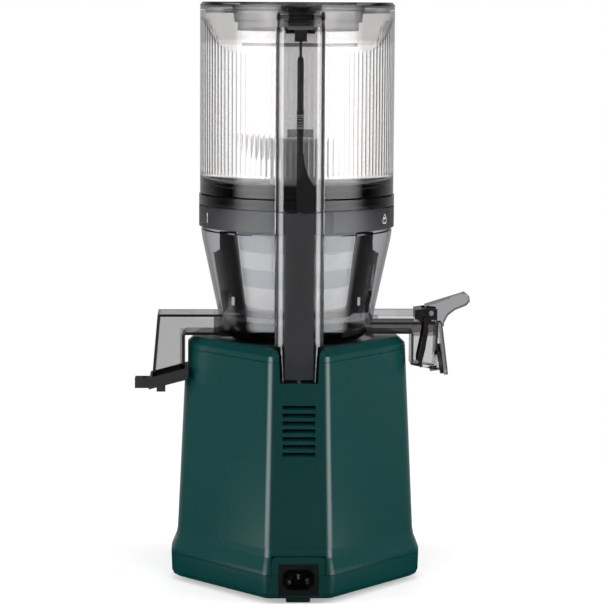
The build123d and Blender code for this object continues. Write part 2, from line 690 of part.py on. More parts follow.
with BuildPart() as stator_windings:
    for level in (STATOR_Z - WINDING_RISE, STATOR_Z + STATOR_H):
        with BuildSketch(at(level)):
            Circle(SLOT_OUT_R + 1)
            Circle(SLOT_IN_R - 1, mode=Mode.SUBTRACT)
        extrude(amount=WINDING_RISE)
    with BuildSketch(at(STATOR_Z - 1)):
        with PolarLocations((SLOT_IN_R + SLOT_OUT_R) / 2, SLOT_COUNT):
            Rectangle(SLOT_OUT_R - SLOT_IN_R - 2 * RUNNING, SLOT_W - 2 * RUNNING)
    extrude(amount=STATOR_H + 2)
finish(stator_windings, "stator_windings")

with BuildPart() as rotor_core:
    disc(0, 0, STATOR_Z - 1, ROTOR_R, STATOR_H + 2)
    disc(0, 0, STATOR_Z - 2, MOTOR_SHAFT_R + RUNNING, STATOR_H + 4, mode=Mode.SUBTRACT)
finish(rotor_core, "rotor_core")

with BuildPart() as cooling_fan:
    disc(0, 0, FAN_Z, FAN_R, FAN_T)
    disc(0, 0, FAN_Z, FAN_HUB_R, FAN_H)
    with BuildSketch(at(FAN_Z)):
        with PolarLocations((FAN_HUB_R + FAN_R) / 2 - 1, FAN_BLADES):
            Rectangle(FAN_R - FAN_HUB_R, FAN_T, rotation=18)
    extrude(amount=FAN_H)
    disc(0, 0, FAN_Z - 1, MOTOR_SHAFT_R + RUNNING, FAN_H + 2, mode=Mode.SUBTRACT)
finish(cooling_fan, "cooling_fan")


# ================================================================ gears
PRESSURE = radians(20)
PINION_TIP_R = MODULE * (PINION_TEETH / 2 + 1)
PINION_ROOT_R = MODULE * (PINION_TEETH / 2 - 0.96)
WHEEL_TIP_R = MODULE * (WHEEL_TEETH / 2 + 0.7)
WHEEL_ROOT_R = MODULE * (WHEEL_TEETH / 2 - 1.25)


def gear_plan(z, y, teeth, tip_r, root_r, turn):
    """Involute gear outline centred at (0, y); a tooth points at angle turn."""
    pitch_r = MODULE * teeth / 2
    base_r = pitch_r * cos(PRESSURE)
    half = pi / (2 * teeth) - GEAR_BACKLASH / (4 * pitch_r) + tan(PRESSURE) - PRESSURE
    low = max(base_r, root_r)
    flank = []
    for r in (root_r, low, (low + tip_r) / 2, tip_r):
        roll = acos(min(1.0, base_r / r))
        flank.append((r, half - tan(roll) + roll))
    if root_r >= base_r:
        flank.pop(0)
    points = []
    for tooth in range(teeth):
        middle = radians(turn) + 2 * pi * tooth / teeth
        for side, spots in ((-1, flank), (1, reversed(flank))):
            for r, spread in spots:
                angle = middle + side * spread
                points.append((r * cos(angle), y + r * sin(angle)))
    with BuildSketch(at(z)) as plan:
        with BuildLine():
            Polyline(*points, close=True)
        make_face()
    return plan.sketch


with BuildPart() as motor_shaft:
    disc(0, 0, SHAFT_LOW_Z, MOTOR_SHAFT_R, LOW_MESH_Z + LOW_MESH_H + 2 - SHAFT_LOW_Z)
    pinion = gear_plan(LOW_MESH_Z, 0, PINION_TEETH, PINION_TIP_R, PINION_ROOT_R, 180 / PINION_TEETH)
    extrude(pinion, amount=LOW_MESH_H + 1)
finish(motor_shaft, "motor_shaft")

with BuildPart() as cluster_gear:
    extrude(gear_plan(LOW_MESH_Z, IDLER_Y, WHEEL_TEETH, WHEEL_TIP_R, WHEEL_ROOT_R, 90), amount=LOW_MESH_H)
    pinion_z = LOW_MESH_Z + LOW_MESH_H - 0.5
    pinion = gear_plan(pinion_z, IDLER_Y, PINION_TEETH, PINION_TIP_R, PINION_ROOT_R, 90 - 180 / PINION_TEETH)
    extrude(pinion, amount=HIGH_MESH_Z + HIGH_MESH_H + 1 - pinion_z)
    disc(0, IDLER_Y, LOW_MESH_Z - 1, IDLER_R + RUNNING, 40, mode=Mode.SUBTRACT)
finish(cluster_gear, "cluster_gear")

with BuildPart() as output_gear:
    extrude(gear_plan(HIGH_MESH_Z, 0, WHEEL_TEETH, WHEEL_TIP_R, WHEEL_ROOT_R, -90), amount=HIGH_MESH_H)
    disc(0, 0, HIGH_MESH_Z - 1, OUTPUT_SHAFT_R + RUNNING, 20, mode=Mode.SUBTRACT)
finish(output_gear, "output_gear")

with BuildPart() as output_shaft:
    disc(0, 0, HIGH_MESH_Z, OUTPUT_SHAFT_R, DRUM_FLOOR_Z + 0.6 - HIGH_MESH_Z)
    with BuildSketch(at(DRUM_FLOOR_Z)):
        RegularPolygon(HEX_FLATS / 2, 6, major_radius=False)
    extrude(amount=HEX_TOP_Z - DRUM_FLOOR_Z)
finish(output_shaft, "output_shaft")

with BuildPart() as output_bearings:
    for level in (OUTPUT_BOSS_Z + 1, OUTPUT_BOSS_Z + OUTPUT_BOSS_H - BEARING_H - 1):
        disc(0, 0, level, OUTPUT_BEARING_R, BEARING_H)
    disc(0, 0, OUTPUT_BOSS_Z - 1, OUTPUT_SHAFT_R + RUNNING, 30, mode=Mode.SUBTRACT)
finish(output_bearings, "output_bearings")


# ================================================================ gear case
def case_plan(z, inset=0.0):
    """Gear case outline: two discs joined by their tangents."""
    near = CASE_R - inset
    far = CASE_IDLER_R - inset
    lean = (near - far) / IDLER_Y
    spread = sqrt(1 - lean * lean)
    with BuildSketch(at(z)) as plan:
        Circle(near)
        with Locations((0, IDLER_Y)):
            Circle(far)
        Polygon(
            (near * spread, near * lean),
            (far * spread, IDLER_Y + far * lean),
            (-far * spread, IDLER_Y + far * lean),
            (-near * spread, near * lean),
            align=None,
        )
    return plan.sketch


with BuildPart() as gear_case:
    extrude(case_plan(CASE_Z), amount=CASE_TOP_Z - CASE_Z)
    for x, y in CASE_SCREW_SPOTS:
        disc(x, y, CASE_TOP_Z - 14, CASE_EAR_R, 14)
    extrude(case_plan(CASE_Z + CASE_WALL, CASE_WALL), amount=CASE_TOP_Z - CASE_Z, mode=Mode.SUBTRACT)
    disc(0, IDLER_Y, CASE_Z + CASE_WALL - 0.5, 2 * IDLER_R, LOW_MESH_Z - FIT - CASE_Z - CASE_WALL + 0.5)
    disc(0, IDLER_Y, CASE_Z + 0.5, IDLER_R, CASE_TOP_Z - CASE_Z - 0.6)
    disc(0, 0, CASE_Z - 1, BEARING_R, 10, mode=Mode.SUBTRACT)
    for x, y in CASE_SCREW_SPOTS:
        disc(x, y, CASE_TOP_Z - 12, CASE_SCREW_R + RUNNING, 20, mode=Mode.SUBTRACT)
finish(gear_case, "gear_case")

with BuildPart() as gear_cover:
    extrude(case_plan(CASE_TOP_Z), amount=COVER_T)
    for x, y in CASE_SCREW_SPOTS:
        disc(x, y, CASE_TOP_Z, CASE_EAR_R, COVER_T)
    disc(0, 0, OUTPUT_BOSS_Z, OUTPUT_BOSS_R, OUTPUT_BOSS_H)
    disc(0, 0, OUTPUT_BOSS_Z - 1, OUTPUT_BEARING_R + RUNNING, OUTPUT_BOSS_H + 2, mode=Mode.SUBTRACT)
    for x, y in POST_SPOTS:
        disc(x, y, CASE_TOP_Z + 1, POST_R, DECK_TOP_Z - DECK_T - DAMPER_H - CASE_TOP_Z - 1)
    for x, y in CASE_SCREW_SPOTS:
        disc(x, y, CASE_TOP_Z - 1, CASE_SCREW_R + RUNNING, 20, mode=Mode.SUBTRACT)
finish(gear_cover, "gear_cover")

with BuildPart() as gear_case_screws:
    for x, y in CASE_SCREW_SPOTS:
        disc(x, y, CASE_TOP_Z - 10, CASE_SCREW_R, COVER_T + 11)
        disc(x, y, CASE_TOP_Z + COVER_T, 2 * CASE_SCREW_R, 2)
finish(gear_case_screws, "gear_case_screws")

with BuildPart() as damper_grommets:
    for x, y in POST_SPOTS:
        disc(x, y, DECK_TOP_Z - DECK_T - DAMPER_H, DAMPER_R, DAMPER_H)
finish(damper_grommets, "damper_grommets")

# ================================================================ controls
with BuildPart() as knob_bezel:
    rod_y(0, KNOB_Z, -BEZEL_FRONT_Y, -BEZEL_BACK_Y, BEZEL_R)
    rod_y(0, KNOB_Z, -BEZEL_BACK_Y - 1.6, -BEZEL_BACK_Y, BEZEL_FLANGE_R)
    rod_y(0, KNOB_Z, -BEZEL_FRONT_Y - 1, -BEZEL_BACK_Y + 1, SPINDLE_R + FIT, mode=Mode.SUBTRACT)
finish(knob_bezel, "knob_bezel")

with BuildPart() as control_knob:
    knob_back = -BEZEL_FRONT_Y - SEAM
    rod_y(0, KNOB_Z, knob_back - 5, knob_back, KNOB_R)
    rod_y(0, KNOB_Z, knob_back - KNOB_H + 1.5, knob_back, KNOB_R - 4)
    block((-GRIP_T / 2, GRIP_T / 2), (knob_back - KNOB_H, knob_back - 4), (KNOB_Z - KNOB_R, KNOB_Z + KNOB_R))
    rod_y(0, KNOB_Z, knob_back - 4, -BEZEL_BACK_Y + 18, SPINDLE_R)
finish(control_knob, "control_knob")

with BuildPart() as rotary_switch:
    block(
        (-SWITCH_HALF, SWITCH_HALF),
        (-BEZEL_BACK_Y + 0.1, -BEZEL_BACK_Y + SWITCH_DEPTH),
        (KNOB_Z - SWITCH_HALF, KNOB_Z + SWITCH_HALF),
    )
    rod_y(0, KNOB_Z, -BEZEL_BACK_Y - 1, -BEZEL_BACK_Y + 19, SPINDLE_R + RUNNING, mode=Mode.SUBTRACT)
finish(rotary_switch, "rotary_switch")

with BuildPart() as control_board:
    block(
        (BOARD_X - BOARD_T / 2, BOARD_X + BOARD_T / 2),
        (-BOARD_HALF_W, BOARD_HALF_W),
        (FLOOR_TOP_Z + 0.4, BOARD_TOP_Z),
    )
finish(control_board, "control_board")

BOARD_FACE_X = BOARD_X + BOARD_T / 2
with BuildPart() as board_components:
    block((BOARD_FACE_X, BOARD_FACE_X + 12), (-30, -12), (60, 84))
    block((BOARD_FACE_X, BOARD_FACE_X + 9), (6, 30), (68, 90))
    block((BOARD_FACE_X, BOARD_FACE_X + 6), (-32, -20), (26, 42))
    block((BOARD_FACE_X, BOARD_FACE_X + 7), (14, 32), (22, 34))
    for y, z, radius in ((-8, 34, 6.0), (6, 34, 6.0), (-2, 52, 8.0)):
        with Locations((BOARD_FACE_X + 7, y, z)):
            Cylinder(radius, 14, rotation=(0, 90, 0))
    for fin in range(5):
        block((BOARD_FACE_X, BOARD_FACE_X + 10), (14 + 4 * fin, 15.4 + 4 * fin), (42, 64))
    block((BOARD_FACE_X, BOARD_FACE_X + 2), (13, 33), (42, 64))
finish(board_components, "board_components")

with BuildPart() as interlock_switch:
    switch_top = NOTCH_FLOOR_Z - BASE_WALL
    block((-10, 10), (ROD_Y - 11, ROD_Y + 3.5), (SWITCH_Z, switch_top))
    disc(0, ROD_Y, SWITCH_Z + 6, PLUNGER_R + RUNNING, 20, mode=Mode.SUBTRACT)
finish(interlock_switch, "interlock_switch")

with BuildPart() as switch_plunger:
    disc(0, ROD_Y, SWITCH_Z + 6.4, PLUNGER_R, PLUNGER_TOP_Z - SWITCH_Z - 6.4)
finish(switch_plunger, "switch_plunger")


# ================================================================ drum
def drum_face(grow=0.0):
    """Right half of the drum's solid form in the XZ plane, enlarged by grow."""
    foot_z = DRUM_FLOOR_Z - grow
    top_z = RING_TOP_Z + 4 * abs(grow)
    knee = (0.71 * DRUM_CORNER_R + 0.29 * DRUM_FOOT_R + 0.7 * grow, 0.71 * foot_z + 0.29 * DRUM_CORNER_Z)
    with BuildSketch(Plane.XZ) as half:
        with BuildLine():
            ThreePointArc((DRUM_FOOT_R, foot_z), knee, (DRUM_CORNER_R + grow, DRUM_CORNER_Z))
            Polyline(
                (DRUM_CORNER_R + grow, DRUM_CORNER_Z),
                (DRUM_SHOULDER_R + grow, DRUM_SHOULDER_Z),
                (DRUM_NECK_R + grow, RING_Z - 3),
                (RIM_R + grow, RING_Z - 0.3),
                (RIM_R + grow, top_z),
                (0, top_z),
                (0, foot_z),
                (DRUM_FOOT_R, foot_z),
            )
        make_face()
    return half.sketch


STRAINER_LEAN = (STRAINER_TOP_R - STRAINER_FOOT_R) / (STRAINER_TOP_Z - STRAINER_FOOT_Z)


def strainer_r(z):
    """Outer radius of the strainer at height z."""
    return STRAINER_FOOT_R + STRAINER_LEAN * (z - STRAINER_FOOT_Z)


PULP_WALL_LEAN = (PULP_END_LOW_X - PULP_END_TOP_X) / (PULP_TOP_Z - PULP_LOW_Z)
DUCT_HALF_W = 13.0  # the pulp duct inside the drum
DUCT_TOP_Z = DRUM_FLOOR_Z + 18.0
RAIL_Z = JUICE_TOP_Z + 3.8
RAIL_H = 5.4


def pulp_end_x(z):
    """X of the pulp outlet's outer wall at height z."""
    return PULP_END_TOP_X + PULP_WALL_LEAN * (PULP_TOP_Z - z)


def pulp_rim_z(x, above=0.0):
    """Height of the pulp mouth's sloping rim at x, raised by above."""
    return PULP_LOW_Z + PULP_SLOPE * (PULP_END_LOW_X - x) + above


with BuildPart() as drum:
    revolve(drum_face(), axis=Axis.Z)
    # pulp outlet, solid
    pulp_outer = [
        (DRUM_FOOT_R, PULP_FLOOR_Z - OUTLET_WALL),
        (PULP_DROP_X, PULP_FLOOR_Z - OUTLET_WALL),
        (PULP_DROP_X, pulp_rim_z(PULP_DROP_X)),
        (PULP_END_LOW_X, PULP_LOW_Z),
        (PULP_END_TOP_X, PULP_TOP_Z),
        (DRUM_FOOT_R, PULP_TOP_Z),
    ]
    slab(pulp_outer, -PULP_HALF_W, PULP_HALF_W)
    # juice outlet, solid, with the rail on top of it
    juice_outer = [
        (-DRUM_FOOT_R, JUICE_FLOOR_Z),
        (-JUICE_DROP_X, JUICE_FLOOR_Z),
        (-JUICE_DROP_X, JUICE_LOW_Z + 4.0),
        (-JUICE_END_LOW_X, JUICE_LOW_Z),
        (-JUICE_END_TOP_X, JUICE_TOP_Z),
        (-DRUM_FOOT_R, JUICE_TOP_Z),
    ]
    slab(juice_outer, -JUICE_HALF_W, JUICE_HALF_W)
    block((-95.4, -DRUM_CORNER_R), (-1.2, 1.2), (JUICE_TOP_Z - 1, RAIL_Z + 1))
    block((-95.4, -DRUM_CORNER_R), (-3.2, 3.2), (RAIL_Z, RAIL_Z + RAIL_H))
    mouth = Plane(
        origin=(MOUTH_X, 0, MOUTH_Z),
        x_dir=(0, 1, 0),
        z_dir=(-cos(radians(MOUTH_TILT)), 0, sin(radians(MOUTH_TILT))),
    )
    with BuildSketch(mouth):
        Circle(MOUTH_R + OUTLET_WALL)
    extrude(amount=-8)
    # chamber
    revolve(drum_face(-DRUM_WALL), axis=Axis.Z, mode=Mode.SUBTRACT)
    # hub collar, strainer seat and the duct from the strainer's pulp window
    floor_z = DRUM_FLOOR_Z + DRUM_WALL
    disc(0, 0, floor_z - 0.5, COLLAR_R, COLLAR_TOP_Z - floor_z + 0.5)
    with BuildSketch(at(floor_z - 0.5)):
        Circle(STRAINER_FOOT_R + 1)
        Circle(STRAINER_FOOT_R - 5, mode=Mode.SUBTRACT)
    extrude(amount=STRAINER_FOOT_Z - 0.1 - floor_z + 0.5)
    duct_x = (strainer_r(DUCT_TOP_Z) + FIT, DRUM_CORNER_R - 1)
    block(duct_x, (-DUCT_HALF_W - 1.6, DUCT_HALF_W + 1.6), (floor_z - 0.5, DUCT_TOP_Z + 1.4))
    disc(0, 0, DRUM_FLOOR_Z - 1, BOSS_R + FIT, 20, mode=Mode.SUBTRACT)
    duct_z = (PULP_FLOOR_Z + 1.6, DUCT_TOP_Z)
    block((duct_x[0] - 1, 64), (-DUCT_HALF_W, DUCT_HALF_W), duct_z, mode=Mode.SUBTRACT)
    # pulp outlet, inside
    pulp_inner = [
        (62, PULP_FLOOR_Z),
        (PULP_DROP_X - 1, PULP_FLOOR_Z),
        (PULP_DROP_X + OUTLET_WALL, PULP_FLOOR_Z - 3),
        (PULP_DROP_X + OUTLET_WALL, PULP_LOW_Z - 10),
        (pulp_end_x(PULP_LOW_Z - 10) - OUTLET_WALL, PULP_LOW_Z - 10),
        (pulp_end_x(PULP_TOP_Z - OUTLET_WALL) - OUTLET_WALL, PULP_TOP_Z - OUTLET_WALL),
        (62, PULP_TOP_Z - OUTLET_WALL),
    ]
    slab(pulp_inner, -PULP_HALF_W + OUTLET_WALL, PULP_HALF_W - OUTLET_WALL, mode=Mode.SUBTRACT)
    # juice outlet, inside
    juice_inner = [
        (-56, JUICE_FLOOR_Z + 2),
        (-JUICE_DROP_X - 1, JUICE_FLOOR_Z + 2),
        (-JUICE_DROP_X - OUTLET_WALL, JUICE_FLOOR_Z - 1),
        (-JUICE_DROP_X - OUTLET_WALL, JUICE_LOW_Z + 3.6 + OUTLET_WALL),
        (-JUICE_END_LOW_X + OUTLET_WALL, JUICE_LOW_Z + 0.3 + OUTLET_WALL),
        (-JUICE_END_TOP_X + OUTLET_WALL, JUICE_TOP_Z - 2),
        (-56, JUICE_TOP_Z - 2),
    ]
    slab(juice_inner, -JUICE_HALF_W + OUTLET_WALL, JUICE_HALF_W - OUTLET_WALL, mode=Mode.SUBTRACT)
    with BuildSketch(mouth):
        Circle(MOUTH_R)
    extrude(amount=-14, mode=Mode.SUBTRACT)
finish(drum, "drum")

with BuildPart() as locking_ring:
    with BuildSketch(at(RING_Z)):
        Circle(RING_R)
        Circle(RIM_R + FIT, mode=Mode.SUBTRACT)
    extrude(amount=RING_TOP_Z - RING_Z)
    # joint line beside the column
    block((-26.6, -25.8), (RING_R - 18, RING_R + 12), (RING_Z - 1, RING_TOP_Z + 1), mode=Mode.SUBTRACT)
finish(locking_ring, "locking_ring")

with BuildPart() as drum_seal:
    with BuildSketch(at(RING_TOP_Z)):
        Circle(RIM_R - 0.2)
        Circle(RIM_R - DRUM_WALL + 0.2, mode=Mode.SUBTRACT)
    extrude(amount=HOPPER_COLLAR_Z - RING_TOP_Z - 0.1)
finish(drum_seal, "drum_seal")

with BuildPart() as pulp_packing:
    pack_outer = [
        (PULP_DROP_X - 2, pulp_rim_z(PULP_DROP_X, -2)),
        (pulp_end_x(PULP_LOW_Z - 2) + 2, pulp_rim_z(PULP_END_LOW_X + 2, -2)),
        (pulp_end_x(PULP_LOW_Z + 7) + 2, pulp_rim_z(PULP_END_LOW_X + 2, 7.4)),
        (PULP_DROP_X - 2, pulp_rim_z(PULP_DROP_X, 7.4)),
    ]
    slab(pack_outer, -PULP_HALF_W - 2, PULP_HALF_W + 2)
    duct_skin = [
        (
            x + (RUNNING if x > PULP_DROP_X + 1 else -RUNNING),
            z - (RUNNING if z < PULP_FLOOR_Z - 5 else 0),
        )
        for x, z in pulp_outer
    ]
    slab(duct_skin, -PULP_HALF_W - RUNNING, PULP_HALF_W + RUNNING, mode=Mode.SUBTRACT)
    slab(pulp_inner, -PULP_HALF_W + OUTLET_WALL, PULP_HALF_W - OUTLET_WALL, mode=Mode.SUBTRACT)
    # pull tab with a finger hole, and the small foot under the rim
    tab_x = pulp_end_x(PULP_LOW_Z) + 1.6
    tab_z = (PULP_LOW_Z - 3.2, PULP_LOW_Z + 4.8)
    block((tab_x, tab_x + 12), (-7, 7), tab_z)
    block((tab_x + 2.6, tab_x + 6), (-4.5, 4.5), (tab_z[0] - 5, tab_z[1] + 5), mode=Mode.SUBTRACT)
    clip_x = (PULP_DROP_X + 15.6, PULP_DROP_X + 22.6)
    clip_z = (PULP_LOW_Z - 4.2, PULP_LOW_Z + 0.4)
    block(clip_x, (-PULP_HALF_W - 2, -PULP_HALF_W + OUTLET_WALL), clip_z)
    block(clip_x, (PULP_HALF_W - OUTLET_WALL, PULP_HALF_W + 2), clip_z)
finish(pulp_packing, "pulp_packing")

# ================================================================ juice cap
POCKET_R = 7.5


def from_pivot(points):
    """Points in the XZ plane, given as offsets from the lever's pivot."""
    return [(PIVOT_X + x, PIVOT_Z + z) for x, z in points]


with BuildPart() as cap_hinge_block:
    cheek_out = LEVER_HALF_W + FIT + CHEEK_T
    block_side = [
        (12.9, -5.0),
        (9.4, -5.4),
        (9.0, -7.3),
        (0.4, -7.3),
        (-0.6, -5.6),
        (-5.0, -5.6),
        (-5.0, 3.2),
        (2.4, 4.0),
        (12.9, 2.6),
    ]
    slab(from_pivot(block_side), -cheek_out, cheek_out)
    pocket = LEVER_HALF_W + FIT
    rod_y(PIVOT_X, PIVOT_Z, -pocket, pocket, POCKET_R, mode=Mode.SUBTRACT)
    block((PIVOT_X - 20, PIVOT_X), (-pocket, pocket), (PIVOT_Z - 20, PIVOT_Z + 20), mode=Mode.SUBTRACT)
    block((PIVOT_X - 1, PIVOT_X + 7), (-pocket, pocket), (PIVOT_Z, PIVOT_Z + 20), mode=Mode.SUBTRACT)
    rod_y(PIVOT_X, PIVOT_Z, -20, 20, PIVOT_R + RUNNING, mode=Mode.SUBTRACT)
finish(cap_hinge_block, "cap_hinge_block")

with BuildPart() as cap_hinge_pin:
    rod_y(PIVOT_X, PIVOT_Z, -cheek_out - 0.8, cheek_out + 0.8, PIVOT_R)
finish(cap_hinge_pin, "cap_hinge_pin")

with BuildPart() as juice_cap:
    arm = [
        (4.8, 2.4),
        (3.8, 5.4),
        (-28.0, 15.4),
        (-30.8, 13.4),
        (-31.5, 9.2),
        (-28.6, 5.8),
        (-19.6, 2.2),
        (-14.0, -2.2),
        (-11.0, -7.8),
        (-10.6, -11.2),
        (-7.3, -11.2),
        (-6.9, -7.8),
        (-3.2, -3.6),
    ]
    slab(from_pivot(arm), -LEVER_HALF_W, LEVER_HALF_W)
    rod_y(PIVOT_X, PIVOT_Z, -LEVER_HALF_W, LEVER_HALF_W, 4.2)
    # cover plate, hanging in front of the mouth seal
    with BuildSketch(mouth.offset(MOUTH_SEAL_T + CAP_GAP)):
        with Locations((0, CAP_DROP - CAP_H / 2)):
            RectangleRounded(2 * CAP_HALF_W, CAP_H, CAP_CORNER_R)
    extrude(amount=CAP_T)
    rod_y(PIVOT_X, PIVOT_Z, -20, 20, PIVOT_R + RUNNING, mode=Mode.SUBTRACT)
finish(juice_cap, "juice_cap")

with BuildPart() as spout_seal:
    with BuildSketch(mouth):
        Circle(MOUTH_SEAL_R)
        Circle(MOUTH_R + 0.2, mode=Mode.SUBTRACT)
    extrude(amount=MOUTH_SEAL_T)
finish(spout_seal, "spout_seal")

with BuildPart() as cap_leaf:
    leaf = [
        (5.8, -3.6),
        (2.2, -3.6),
        (2.4, -15.2),
        (4.6, -29.2),
        (6.8, -38.2),
        (8.0, -44.3),
        (10.2, -41.2),
        (10.2, -36.7),
        (8.2, -27.2),
        (6.0, -15.2),
    ]
    for side in (-1, 1):
        y_in = side * (JUICE_HALF_W + RUNNING)
        y_out = side * (JUICE_HALF_W + 2.2)
        slab(from_pivot(leaf), min(y_in, y_out), max(y_in, y_out))
finish(cap_leaf, "cap_leaf")

# ================================================================ strainer
MESH_T = 0.7
MESH_SEAT_R = STRAINER_WALL - 0.8
with BuildPart() as strainer_frame:
    inner_low = strainer_r(STRAINER_FOOT_Z + 2.4) - STRAINER_WALL
    turned(
        [
            (BOSS_R + 2 * FIT, STRAINER_FOOT_Z),
            (STRAINER_FOOT_R, STRAINER_FOOT_Z),
            (STRAINER_TOP_R, STRAINER_TOP_Z),
            (STRAINER_TOP_R - STRAINER_WALL, STRAINER_TOP_Z),
            (inner_low, STRAINER_FOOT_Z + 2.4),
            (BOSS_R + 2 * FIT, STRAINER_FOOT_Z + 2.4),
        ]
    )
    # seats for the mesh bands on the inside, windows through the rest
    for low, high in MESH_BANDS:
        turned(
            [
                (strainer_r(low) - MESH_SEAT_R, low - 1.5),
                (strainer_r(high) - MESH_SEAT_R, high + 1.5),
                (strainer_r(high) - 4, high + 1.5),
                (strainer_r(low) - 4, low - 1.5),
            ],
            mode=Mode.SUBTRACT,
        )
        for window in range(MESH_WINDOWS):
            with BuildSketch(at(low)) as opening:
                with PolarLocations(44, 1, start_angle=(window + 0.5) * 360 / MESH_WINDOWS):
                    Rectangle(20, 2 * pi * strainer_r(low) / MESH_WINDOWS - 2.6)
            extrude(opening.sketch, amount=high - low, mode=Mode.SUBTRACT)
    # pulp window
    window_z = (STRAINER_FOOT_Z + 2.4, DUCT_TOP_Z)
    block((30, 50), (-DUCT_HALF_W + 2, DUCT_HALF_W - 2), window_z, mode=Mode.SUBTRACT)
finish(strainer_frame, "strainer_frame")

with BuildPart() as strainer_mesh:
    for low, high in MESH_BANDS:
        turned(
            [
                (strainer_r(low) - MESH_SEAT_R - RUNNING, low - 1.4),
                (strainer_r(high) - MESH_SEAT_R - RUNNING, high + 1.4),
                (strainer_r(high) - MESH_SEAT_R - MESH_T, high + 1.4),
                (strainer_r(low) - MESH_SEAT_R - MESH_T, low - 1.4),
            ]
        )
finish(strainer_mesh, "strainer_mesh")


# ================================================================ wiper
def wiper_in(z):
    """Inner edge of the wiper's arms at height z."""
    return strainer_r(z) + WIPER_GAP + 0.6


ARM_LOW_R = DRUM_CORNER_R - 4.4
ARM_HIGH_R = DRUM_SHOULDER_R - 10.6
TAB_R = 61.6
with BuildPart() as wiper_frame:
    with BuildSketch(at(WIPER_LOW_Z)):
        Circle(wiper_in(WIPER_LOW_Z) + 5)
        Circle(wiper_in(WIPER_LOW_Z) + 0.6, mode=Mode.SUBTRACT)
    extrude(amount=5)
    for side in (1, -1):
        arm_side = [
            (side * wiper_in(WIPER_LOW_Z + 0.6), WIPER_LOW_Z),
            (side * ARM_LOW_R, WIPER_LOW_Z),
            (side * ARM_HIGH_R, WIPER_STEP_Z - 2),
            (side * (ARM_HIGH_R - 2), WIPER_STEP_Z),
            (side * TAB_R, WIPER_STEP_Z),
            (side * TAB_R, WIPER_TOP_Z),
            (side * wiper_in(WIPER_TOP_Z), WIPER_TOP_Z),
        ]
        slab(arm_side, -WIPER_T / 2, WIPER_T / 2)
        low, high = WIPER_LOW_Z + 6, WIPER_LOW_Z + 13
        hole = [
            (side * (wiper_in(low) + 3.4), low),
            (side * (ARM_LOW_R - 3.6), low),
            (side * (ARM_LOW_R - 3.0), high),
            (side * (wiper_in(high) + 3.4), high),
        ]
        slab(hole, -WIPER_T, WIPER_T, mode=Mode.SUBTRACT)
finish(wiper_frame, "wiper_frame")

with BuildPart() as wiper_blades:
    for side in (1, -1):
        outer_blade = [
            (side * (ARM_LOW_R + RUNNING), WIPER_LOW_Z),
            (side * (ARM_LOW_R + 1.8), WIPER_LOW_Z),
            (side * (ARM_HIGH_R + 1.8), WIPER_STEP_Z - 2),
            (side * (ARM_HIGH_R + RUNNING), WIPER_STEP_Z - 2),
        ]
        slab(outer_blade, -0.7, 0.7)
        inner_blade = [
            (side * (wiper_in(WIPER_LOW_Z + 6) - RUNNING), WIPER_LOW_Z + 6),
            (side * (wiper_in(WIPER_TOP_Z - 1) - RUNNING), WIPER_TOP_Z - 1),
            (side * (wiper_in(WIPER_TOP_Z - 1) - 0.8), WIPER_TOP_Z - 1),
            (side * (wiper_in(WIPER_LOW_Z + 6) - 0.8), WIPER_LOW_Z + 6),
        ]
        slab(inner_blade, -0.7, 0.7)
finish(wiper_blades, "wiper_blades")

# ================================================================ auger
FLIGHT_LOW_Z = STRAINER_FOOT_Z + 3.8
FLIGHT_HIGH_Z = STRAINER_TOP_Z - 2.3
FLIGHT_LEVELS = 14
FLIGHT_GAP = 1.0
FLIGHT_SHAPE = ((0.0, 0.0), (0.18, 0.0), (0.36, 0.06), (0.52, 0.42), (0.64, 0.96), (0.78, 1.0), (0.88, 0.5))


def flight_section(z):
    """Cross-section of core and flights at height z, with one crest per lobe."""
    share = (z - FLIGHT_LOW_Z) / (FLIGHT_HIGH_Z - FLIGHT_LOW_Z)
    core = AUGER_CORE_LOW_R + (AUGER_CORE_HIGH_R - AUGER_CORE_LOW_R) * share
    crest = strainer_r(z) - STRAINER_WALL - FLIGHT_GAP
    spots = []
    for lobe in range(AUGER_LOBES):
        for part_way, rise in FLIGHT_SHAPE:
            angle = radians(AUGER_TWIST * share + (lobe + part_way) * 360 / AUGER_LOBES)
            radius = core + (crest - core) * rise
            spots.append((radius * cos(angle), radius * sin(angle)))
    with BuildSketch(at(z)) as section:
        with BuildLine():
            Polyline(*spots, close=True)
        make_face()
    return section.sketch.faces()[0]


with BuildPart() as auger:
    rise = (FLIGHT_HIGH_Z - FLIGHT_LOW_Z) / (FLIGHT_LEVELS - 1)
    loft([flight_section(FLIGHT_LOW_Z + level * rise) for level in range(FLIGHT_LEVELS)], ruled=True)
    disc(0, 0, DRUM_FLOOR_Z + 1, BOSS_R, 14)
    turned(
        [
            (0, FLIGHT_HIGH_Z - 2),
            (AUGER_CORE_HIGH_R, FLIGHT_HIGH_Z - 2),
            (AUGER_NECK_R, FLIGHT_HIGH_Z + 12),
            (AUGER_NECK_R, AUGER_TOP_Z - 2),
            (AUGER_NECK_R - 2, AUGER_TOP_Z),
            (0, AUGER_TOP_Z),
        ]
    )
    with BuildSketch(at(DRUM_FLOOR_Z)):
        RegularPolygon(HEX_FLATS / 2 + FIT, 6, major_radius=False)
    extrude(amount=HEX_TOP_Z + 1 - DRUM_FLOOR_Z, mode=Mode.SUBTRACT)
finish(auger, "auger")

with BuildPart() as auger_wing:
    wing = [
        (AUGER_NECK_R - 3, AUGER_TOP_Z - 18),
        (AUGER_NECK_R - 3, AUGER_TOP_Z - 0.6),
        (40.0, AUGER_TOP_Z + 5.5),
        (39.4, AUGER_TOP_Z - 1),
        (35.0, AUGER_TOP_Z - 9),
        (29.0, AUGER_TOP_Z - 15),
    ]
    slab(wing, -2.2, 2.2)
    disc(0, 0, AUGER_TOP_Z - 30, AUGER_NECK_R + RUNNING, 60, mode=Mode.SUBTRACT)
finish(auger_wing, "auger_wing")


